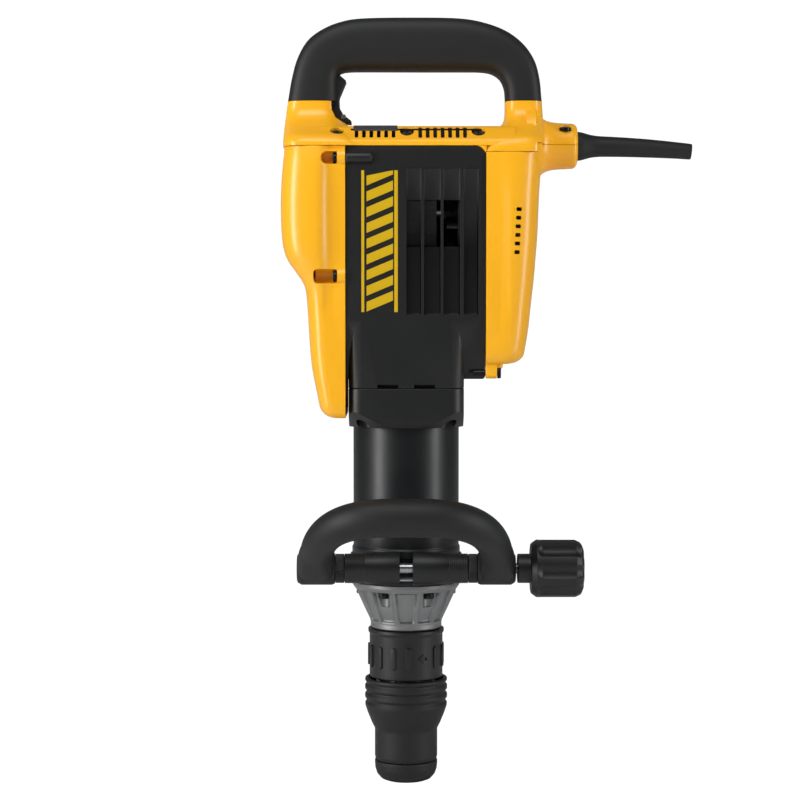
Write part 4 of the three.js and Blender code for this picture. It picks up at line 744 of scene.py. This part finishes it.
def gripRoom():
    # the hollow that the handle's stem fills
    return prism("c", "y", roundCorners([
        (-88, 540), (-87, 566, 20), (-78, 596, 18), (-60, 609, 12), (64, 609, 16), (89, 595, 16),
        (99.5, 560, 10),
        (101, 540), (88.5, 540), (88.5, 585, 14), (-64, 585, 6), (-64, 540)]), -15.8, 15.8)


for name, cad, side in (("gripFront", "grip_front", 1), ("gripBack", "grip_back", -1)):
    half = boxMesh("c", (-130, 150), span(side, -0.04, 60), (480, 640))
    below = boxMesh("c", (-130, 150), (-60, 60), (480, handle["join"] + 0.3))
    place(name, dBody(name), "rubber", nodes=cad,
          cut=[below, gripRoom(), triggerWell(), half])
triggerOutline = roundCorners([
    (-54.5, 575, 1.8), (-48.3, 569.8, 1.2), (-54.2, 556, 9), (-53.8, 548, 6), (-50.6, 542.6, 4),
    (-44.2, 537.6, 1.0),
    (-44.4, 535.4, 0.6), (-56, 536.4, 2), (-62.5, 546, 3), (-62.5, 573, 2)], 6)
place("trigger", prism("trigger", "y", triggerOutline, -10.5, 10.5, 1.0, 4), "rubber", body="trigger_body",
      nodes="trigger", smooth=45, cut=[rod("c", "y", trigger["pivot"], 2.3, -30, 30, 24)])
place("triggerPin", rod("triggerPin", "y", trigger["pivot"], 2.0, -10.4, 10.4, 32, 0.4), "steel",
      nodes="trigger_pivot_pin")

boot = {"end": 231.0, "droop": 4.4, "bore": 4.4}
bootTable = catmull([(138.6, 11.65), (140, 11.6), (142.5, 11.2), (146, 10.2), (150, 9.2), (156, 8.45),
                     (168, 8.1),
                     (181, 7.8), (194, 7.5), (207, 7.1), (219, 6.7), (230, 6.35), (231, 5.7)], 120)


def bootLine(x):
    f = np.clip((x - 138.3) / (boot["end"] - 138.3), 0, 1.1)
    return np.stack([x, np.zeros_like(x), boss["z"] - boot["droop"] * f ** 2], -1)


bootX = np.concatenate([np.linspace(112, 138, 6), np.linspace(138.6, 236, 60)])
place("cordBoot", swept("cordBoot", bootLine(bootTable[:, 0]), bootTable[:, 1], 72, (0, 1, 0)), "rubber",
      nodes="cord_boot", joined=[
    rod("b", "x", (0, boss["z"]), 8.7, 119, 140, 72), rod("b", "x", (0, boss["z"]), 12.4, 118, 124, 72)],
      cut=[swept("c", bootLine(bootX), boot["bore"], 48, (0, 1, 0))])
print("stage: grip, trigger, boot")

# side handle

clampDims = {"band": (168.3, 186.7), "inner": 40.3, "outer": 45.4, "y": -59.0, "z": 181.4, "gap": 5.1,
             "end": 48.8}
cl = clampDims
axisYZ = (cl["y"], cl["z"])
knuckle = (cl["band"][1] - cl["band"][0] - 0.6) / 3


def clampHalf(name, side):
    # band, web and sleeve of one half; the knuckles alternate about the hinge pin
    low, high = cl["band"]
    near, far = cl["gap"], cl["end"]
    ridges = [(13.3, near, 0.6), (12.1, 33, 0.4)]
    for k in range(9):
        ridges += [(11.75 - 0.03 * k, 33.3 + 1.7 * k, 0.15), (12.05 - 0.03 * k, 34.2 + 1.7 * k, 0.15)]
    ridges = [(0, near)] + ridges + [(11.5, far, 0.4), (0, far)]
    profile = roundCorners(ridges, 2) * np.array([1, side])
    sleeve = turned("s", "x", axisYZ, profile, 72)
    web = prism("w", "z", roundCorners([(side * near, cl["y"]), (side * 38, cl["y"], 4), (side * 38, -30, 8),
                                        (side * near, -22)]), low, high, 0.8)
    back = prism("k", "z", roundCorners([(side * 0.15, 36), (side * 30, 30), (side * 22, 47, 6),
                                         (side * 0.15, 51.6, 2)]), low, high, 0.8)
    cuts = [rod("c", "z", (0, 0), cl["inner"], 150, 200, 128), rod("c", "z", (0, 47), 2.3, 150, 200, 32),
            rod("c", "x", axisYZ, 4.3, -60, 60, 40)]
    if side > 0:
        cuts += [rod("c", "z", (0, 47), 5.2, low - 2, low + knuckle + 0.3, 48),
                 rod("c", "z", (0, 47), 5.2, high - knuckle - 0.3, high + 2, 48)]
        pins = [rod("k", "z", (0, 47), 4.6, low + knuckle + 0.3, high - knuckle - 0.3, 48)]
    else:
        cuts += [rod("c", "z", (0, 47), 5.2, low + knuckle, high - knuckle, 48)]
        pins = [rod("k", "z", (0, 47), 4.6, low, low + knuckle, 48),
                rod("k", "z", (0, 47), 4.6, high - knuckle, high, 48)]
    t = np.pi / 2 - side * np.linspace(0.004, np.pi - 0.004, 61)
    arc = np.stack([np.cos(t), np.sin(t)], -1)
    ringOutline = np.concatenate([arc * cl["outer"], arc[::-1] * (cl["inner"] - 1)])
    half = prism("half", "z", ringOutline, low, high, 0.0)
    front = boxMesh("c", span(side, -60, cl["gap"]), (-90, -20), (150, 210))
    cad = "clamp_half_right" if side > 0 else "clamp_half_left"
    place(name, half, "black", body="clamp", nodes=cad, smooth=35,
          joined=[web, back, sleeve] + pins, cut=cuts + [front])


clampHalf("clampHalfRight", 1)
clampHalf("clampHalfLeft", -1)
place("clampHingePin", rod("clampHingePin", "z", (0, 47), 2.0, cl["band"][0] + 0.2, cl["band"][1] - 0.2,
                           32, 0.3),
      "steel", body="clamp", nodes="clamp_hinge_pin")


def toothedRing(name, low, high):
    # a washer whose rim carries 48 rounded teeth: r = 11.1 + 0.4 |cos 24 t|^0.7
    t = np.linspace(0, 2 * np.pi, 288, endpoint=False)
    r = 11.1 + 0.4 * np.abs(np.cos(24 * t)) ** 0.7
    return prism(name, "x", np.stack([cl["y"] + r * np.cos(t), cl["z"] + r * np.sin(t)], -1), low, high, 0.4)


for name, cad, a, b in (("toothedWasherRight", "toothed_washer_right", 49.1, 56.1),
                        ("toothedWasherLeft", "toothed_washer_left", -56.1, -49.1)):
    place(name, toothedRing(name, a, b), "black", body="clamp", nodes=cad,
          smooth=30, cut=[rod("c", "x", axisYZ, 4.3, -60, 60, 48)])

grip = {"half": 71.4, "reach": 87.6, "foot": -5.0, "tilt": 33.0, "thin": 12.9, "thick": 14.7,
        "eye": (56.4, 86.4)}


def loopSkin(name):
    # centre line |x / half|^3.08 + |(r - foot) / (reach - foot)|^2.75 = 1; the section |a|^p + |b|^p =
    # 1 turns from a
    # circle into a rounded block at the two feet, where it meets the eyes
    u = np.linspace(0, np.pi, 301)
    c, s = np.cos(u), np.sin(u)
    line = np.stack([grip["half"] * bent(c, 3.08),
                     grip["foot"] + (grip["reach"] - grip["foot"]) * s ** (2 / 2.75)], -1)
    line = line[line[:, 1] > -0.4]
    length = np.concatenate([[0], np.cumsum(np.linalg.norm(np.diff(line, axis=0), axis=1))])
    even = np.linspace(0, length[-1], 220)
    x, r = np.interp(even, length, line[:, 0]), np.interp(even, length, line[:, 1])
    along = np.gradient(np.stack([x, r], -1), axis=0)
    along /= np.linalg.norm(along, axis=1)[:, None]
    foot = 1 - smoothStep(r, 4, 34)
    thickness = grip["thin"] + (grip["thick"] - grip["thin"]) * np.clip(r / grip["reach"], 0, 1) ** 3
    wide, deep, power = thickness + 1.5 * foot, thickness + 0.1 * foot, 2 + 2.2 * foot
    t = np.linspace(0, 2 * np.pi, 80, endpoint=False)[None]
    a = wide[:, None] * bent(np.cos(t), power[:, None])
    b = deep[:, None] * bent(np.sin(t), power[:, None])
    px, pr = x[:, None] + a * along[:, 1, None], r[:, None] - a * along[:, 0, None]
    tilt = math.radians(grip["tilt"])
    y = cl["y"] - math.cos(tilt) * pr + math.sin(tilt) * b
    z = cl["z"] + math.sin(tilt) * pr + math.cos(tilt) * b
    return closedMesh(name, np.stack([px, y, z], -1))


def eyeRod(side):
    near, far = grip["eye"]
    shape = roundCorners([(0, near), (12.0, near, 0.6), (13.0, near + 2.5, 2), (13.0, far - 3.5, 3),
                          (10.8, far, 2.5),
                          (0, far)], 5)
    return turned("e", "x", axisYZ, shape * np.array([1, side]), 80)


place("sideGrip", loopSkin("sideGrip"), "rubber", body="loop", nodes="side_grip",
      smooth=50, joined=[eyeRod(1), eyeRod(-1)],
      cut=[rod("c", "x", axisYZ, 4.3, -79, 100, 40), rod("c", "x", axisYZ, 6.9, -92, -78, 40)])
place("clampBolt", rod("clampBolt", "x", axisYZ, 4.0, -79, 124, 40, 0.6), "steel", body="clamp",
      nodes="clamp_bolt", joined=[prism("h", "x", roundCorners([(a, b, 0.4) for a,
                                                            b in hexagonAt(axisYZ, 6.6)]), -83, -78.3, 0.3)])
place("cheekRod", rod("cheekRod", "x", (cl["y"] + 5, cl["z"] - 9.6), 1.6, -7, 7, 24), "steel", body="clamp")

knobDims = {"start": 87.8, "neck": 10.4, "neckR": 11.6, "r": 22.8, "end": 139.8, "flutes": 8}
kd = knobDims


def knobSkin(name):
    # r(x, t) = profile(x) - depth(x) * dip(t): eight scallops that open towards the outer end
    shoulderAt = kd["start"] + kd["neck"]
    rows = roundCorners([
        (0, kd["start"]), (kd["neckR"], kd["start"], 1), (kd["neckR"], shoulderAt, 0.6),
        (19.5, shoulderAt, 1.4),
        (kd["r"], shoulderAt + 4.5, 3), (kd["r"], kd["end"] - 6.5, 3), (20.6, kd["end"] - 1.8, 3),
        (16, kd["end"], 2), (0, kd["end"])], 6)
    inside = rows[1:-1]
    spaced = []
    for a, b in zip(inside[:-1], inside[1:]):
        # about 0.9 mm between rows
        spaced.append(np.linspace(a, b, max(2, int(np.linalg.norm(b - a) / 0.9)), endpoint=False))
    spaced = np.concatenate(spaced + [inside[-1:]])
    r, x = spaced[:, 0, None], spaced[:, 1, None]
    t = np.linspace(0, 2 * np.pi, 256, endpoint=False)[None]
    phase = np.abs(((t * kd["flutes"] / (2 * np.pi)) + 0.5) % 1 - 0.5) * 2
    along = np.clip((x - kd["start"] - kd["neck"] - 4.5) / 4, 0, 1)
    width = 0.62 * np.sqrt(np.clip(along, 0, 1))
    dip = np.clip(1 - (phase / np.maximum(width, 1e-3)) ** 2, 0, 1) ** 0.8
    r = r - 3.0 * along * dip * np.clip((r - 12) / 8, 0, 1)
    loops = np.stack([np.broadcast_to(x, r.shape), cl["y"] + r * np.cos(t), cl["z"] + r * np.sin(t)], -1)
    return closedMesh(name, loops)


place("clampKnob", knobSkin("clampKnob"), "black", body="knob", nodes="clamp_knob",
      smooth=38, cut=[rod("c", "x", axisYZ, 4.3, 80, 125, 40)])
print("stage: side handle")

# nose

cone = {"low": 126.0, "high": 164.5, "bore": 21.3, "depth": 3.0, "pockets": 12}
coneShape = roundCorners([
    (cone["bore"], cone["low"], 0.3), (28.4, cone["low"], 0.8), (29, 127, 0.6), (29.0, 130.6, 1),
    (30.2, 133.6, 5), (35.2, 144, 40),
    (42.0, 159.0, 3), (43.6, 161.3, 1.4), (43.6, cone["high"], 0.5), (cone["bore"], cone["high"], 0.3)], 6)


def ribbedCone(name):
    # r(z, t) = profile(z) - depth * window(z) * flank(t): twelve shallow pockets between thin ribs
    along = np.concatenate([[0], np.cumsum(np.linalg.norm(np.diff(coneShape, axis=0), axis=1))])
    every = np.unique(np.concatenate([along, np.arange(0, along[-1], 0.7)]))
    r = np.interp(every, along, coneShape[:, 0])[:, None]
    z = np.interp(every, along, coneShape[:, 1])[:, None]
    t = np.linspace(0, 2 * np.pi, 360, endpoint=False)[None]
    phase = np.abs((t * cone["pockets"] / (2 * np.pi) + 0.5) % 1 - 0.5) * 2
    halfRib = 1.5 / (r * np.pi / cone["pockets"])
    flank = smoothStep(1 - phase, halfRib, halfRib + 0.14)
    window = smoothStep(z, 131.6, 134.6) * (1 - smoothStep(z, 157.6, 158.6)) * (r > 25)
    deep = cone["depth"] * (0.75 + 0.55 * smoothStep(z, 140, 157))
    r = r - deep * window * flank
    return closedMesh(name, np.stack([r * np.cos(t), r * np.sin(t), np.broadcast_to(z, r.shape)], -1),
                      capped=False)


boltCircle = 36.4
boltTurns = [math.radians(30 + 60 * k) for k in range(6)]
boltAt = [(boltCircle * math.sin(a), -boltCircle * math.cos(a)) for a in boltTurns]
place("frontHousing", ribbedCone("frontHousing"), "cast", nodes="front_housing",
      cut=[rod("c", "z", c, 4.9, 146, 158.2, 40) for c in boltAt]
      + [rod("c", "z", c, 3.3, 155, 166, 24) for c in boltAt])
for k, c in enumerate(boltAt):
    shape = roundCorners([(0, 153.4), (4.2, 153.4, 0.6), (4.2, 158.0, 0.1), (3.0, 158.0, 0.1),
                          (3.0, 164, 0.3),
                          (0, 164)], 3)
    place(f"noseBolt{k}", turned(f"noseBolt{k}", "z", c, shape, 40), "oxide",
          cut=[prism("c", "z", np.array(hexagonAt(c, 2.6)), 152, 156)])

collar = {"high": 125.5, "r": 29.9, "lip": 31.0, "bore": 21.3, "ribs": [3.6 + 24 * k for k in range(15)]}
collarShape = roundCorners([
    (collar["bore"], 85.4, 0.3), (29.5, 85.4, 0.4), (collar["r"], 86.4, 0.4), (collar["r"], 121.0, 1.2),
    (collar["lip"], 122.6, 0.8), (collar["lip"], collar["high"], 0.8), (collar["bore"], collar["high"],
                                                            0.3)], 4)


def aboutZ(degrees):
    c, s = math.cos(math.radians(degrees)), math.sin(math.radians(degrees))
    return [[c, -s, 0], [s, c, 0], [0, 0, 1]]


def pad(k, width, low, high, rise):
    # an oblong pad standing on the collar at an angle measured from the front
    half, corner = width / 2, width / 2.1
    outline = roundCorners([(-half, low, corner), (half, low, corner), (half, high, corner),
                            (-half, high, corner)], 6)
    block = prism("p", "y", outline, -collar["r"] - rise, -collar["r"] + 2.5, 0.5)
    return moved(block, aboutZ(k), (0, 0, 0))


toMark = aboutZ(25.0)
arrow = np.array([(-3.2, 103.4), (1.2, 99.6), (1.2, 107.2)])
mark = moved(prism("p", "y", arrow, -30.6, -27.5, 0.2), toMark, (0, 0, 0))
dot = moved(rod("c", "y", (3.4, 103.4), 1.4, -33, -28.6, 24), toMark, (0, 0, 0))
place("indexCollar", turned("indexCollar", "z", (0, 0), collarShape, 144), "black", body="holder",
      nodes="index_collar", smooth=35,
      joined=[pad(k, 4.6, 94.4, 112.6, 1.35) for k in collar["ribs"] if abs(k - 27.6) > 1]
      + [mark], cut=[dot])

sleeveShape = roundCorners([
    (21.3, 16.9, 0.2), (24.9, 16.9, 0.8), (25.6, 20, 1), (25.6, 42.5, 5), (28.2, 47.6, 6), (31.6, 56, 8),
    (33.4, 61.4, 1), (33.6, 63.6, 1), (32.0, 66.2, 1.4), (33.7, 68.4, 0.8), (33.7, 71.0, 0.8),
    (32.0, 73.5, 1.4), (33.7, 75.4, 0.8),
    (33.7, 78, 0.8), (32.2, 80.4, 1.4), (33.7, 82.4, 0.8), (33.4, 84.5, 0.8), (30.6, 84.5, 0.3),
    (30.6, 77.2, 0.3),
    (27.2, 77.2, 0.3), (27.2, 70.2, 0.3), (21.3, 70.2, 0.3)], 4)
place("releaseSleeve", turned("releaseSleeve", "z", (0, 0), sleeveShape, 144), "rubber", body="sleeve",
      nodes="release_sleeve")
capShape = roundCorners([
    (10.0, 0, 0.6), (17, 0, 2), (20.6, 1.4, 3), (23.8, 5.2, 4), (25.3, 9.8, 4), (25.6, 14, 1),
    (25.6, 16.5, 0.6),
    (14.3, 16.5, 0.2), (14.3, 2.8, 0.2), (10.0, 2.8, 0.4)], 4)
place("dustCap", turned("dustCap", "z", (0, 0), capShape, 128), "rubber", body="holder", nodes="dust_cap")
print("stage: nose")

# speed dial on the back

dial = {"x": -30, "z": 386, "notchCircle": 11.6, "notches": 16}
dialShape = [(0, 42.5), (10.8, 42.5, 0.3), (10.8, 48.4, 0.6), (9.6, 49.5, 0.6), (0, 49.5)]
dialCuts = []
for i in range(dial["notches"]):
    a = i * math.pi / 8
    at = (dial["x"] + dial["notchCircle"] * math.cos(a), dial["z"] + dial["notchCircle"] * math.sin(a))
    dialCuts.append(rod("c", "y", at, 1.4, 44, 52, 20))
place("speedDial", turned("speedDial", "y", (dial["x"], dial["z"]), roundCorners(dialShape, 3), 96), "black",
      body="dial", nodes="speed_dial", cut=dialCuts)
print("stage: dial")

# the CAD nodes that stay as they are

keptLook = {
    "copper": ["commutator"], "carbon": ["carbon_brush_front", "carbon_brush_back"],
    "board": ["control_module"], "lamination": ["armature_core", "motor_stator"],
    "cast": ["gear_case"], "nylon": ["cooling_fan", "brush_holder", "trigger_switch"],
}
lookOf = {name: look for look, names in keptLook.items() for name in names}
for name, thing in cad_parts.items():
    if not thing.hide_render:
        thing.data.materials.clear()
        thing.data.materials.append(paint[lookOf.get(name, "steel")])
        print("kept CAD node:", name, lookOf.get(name, "steel"))

# floor, light and camera

studio = bpy.data.materials.new("matte white studio paper")
studio.use_nodes = True
paper = studio.node_tree
paperPlace = node(paper, "ShaderNodeTexCoord").outputs["Object"]
grainNoise = node(paper, "ShaderNodeTexNoise", [(paperPlace, "Vector")], Scale=3.0)
tint = node(paper, "ShaderNodeMapRange", [(grainNoise.outputs[0], "Value")], in_3=0.86, in_4=0.88)
paper.links.new(tint.outputs[0], paper.nodes["Principled BSDF"].inputs["Base Color"])
paper.nodes["Principled BSDF"].inputs["Roughness"].default_value = 0.9
glow = node(paper, "ShaderNodeEmission", in_0=(1.0, 1.0, 1.0, 1.0), in_1=1.05)
seen = node(paper, "ShaderNodeMixShader", [(node(paper, "ShaderNodeLightPath").outputs["Is Camera Ray"],
                                            "Fac")])
paper.links.new(paper.nodes["Principled BSDF"].outputs[0], seen.inputs[1])
paper.links.new(glow.outputs[0], seen.inputs[2])
paper.links.new(seen.outputs[0], paper.nodes["Material Output"].inputs[0])
t = np.linspace(0, np.pi / 2, 24)
sweep = np.concatenate([[[-6.0, 0.0]], np.stack([1.6 + 1.4 * np.sin(t), 1.4 * (1 - np.cos(t))], -1),
                        [[3.0, 6.0]]])
wide = np.array([-7.0, 7.0])
grid = np.stack([np.broadcast_to(wide[:, None], (2, len(sweep))), np.broadcast_to(sweep[None, :, 0],
                                                            (2, len(sweep))),
                 np.broadcast_to(sweep[None, :, 1], (2, len(sweep)))], -1)
index = np.arange(2 * len(sweep)).reshape(2, -1)
quads = np.stack([index[0, :-1], index[1, :-1], index[1, 1:], index[0, 1:]], -1)
floorMesh = bpy.data.meshes.new("studioFloor")
floorMesh.from_pydata(grid.reshape(-1, 3).tolist(), [], quads.tolist())
floorMesh.materials.append(studio)
floorMesh.polygons.foreach_set("use_smooth", np.ones(len(floorMesh.polygons), bool))
floor = bpy.data.objects.new("studioFloor", floorMesh)
bpy.context.scene.collection.objects.link(floor)

target = Vector((-0.005, 0.0, 0.3118))


def lamp(name, size, power, at, tint, aim=None):
    data = bpy.data.lights.new(name, "AREA")
    data.shape = "RECTANGLE"
    data.size, data.size_y = size
    data.energy = power
    data.color = tint
    thing = bpy.data.objects.new(name, data)
    thing.location = at
    thing.rotation_euler = ((aim or target) - Vector(at)).to_track_quat("-Z", "Y").to_euler()
    bpy.context.scene.collection.objects.link(thing)
    return thing


lamp("keyLeft", (0.5, 1.6), 30, (-1.6, -0.9, 0.6), (1.0, 0.99, 0.97))
lamp("fillRight", (0.4, 1.6), 17, (1.6, -0.7, 0.5), (1.0, 1.0, 1.0))
lamp("top", (1.0, 0.8), 12, (-0.2, -0.9, 1.9), (1.0, 1.0, 1.0))
world = bpy.data.worlds.new("studio")
world.use_nodes = True
world.node_tree.nodes["Background"].inputs[0].default_value = (0.93, 0.95, 1.0, 1.0)
world.node_tree.nodes["Background"].inputs[1].default_value = 0.15
bpy.context.scene.world = world
bpy.context.scene.view_settings.view_transform = "Standard"

cameraData = bpy.data.cameras.new("camera")
cameraData.lens = 95.3
cameraData.sensor_width = 36.0
camera = bpy.data.objects.new("camera", cameraData)
camera.location = (-0.005, -1.726, 0.398)
camera.rotation_euler = (target - camera.location).to_track_quat("-Z", "Y").to_euler()
bpy.context.scene.collection.objects.link(camera)
bpy.context.scene.camera = camera
print("stage: studio")
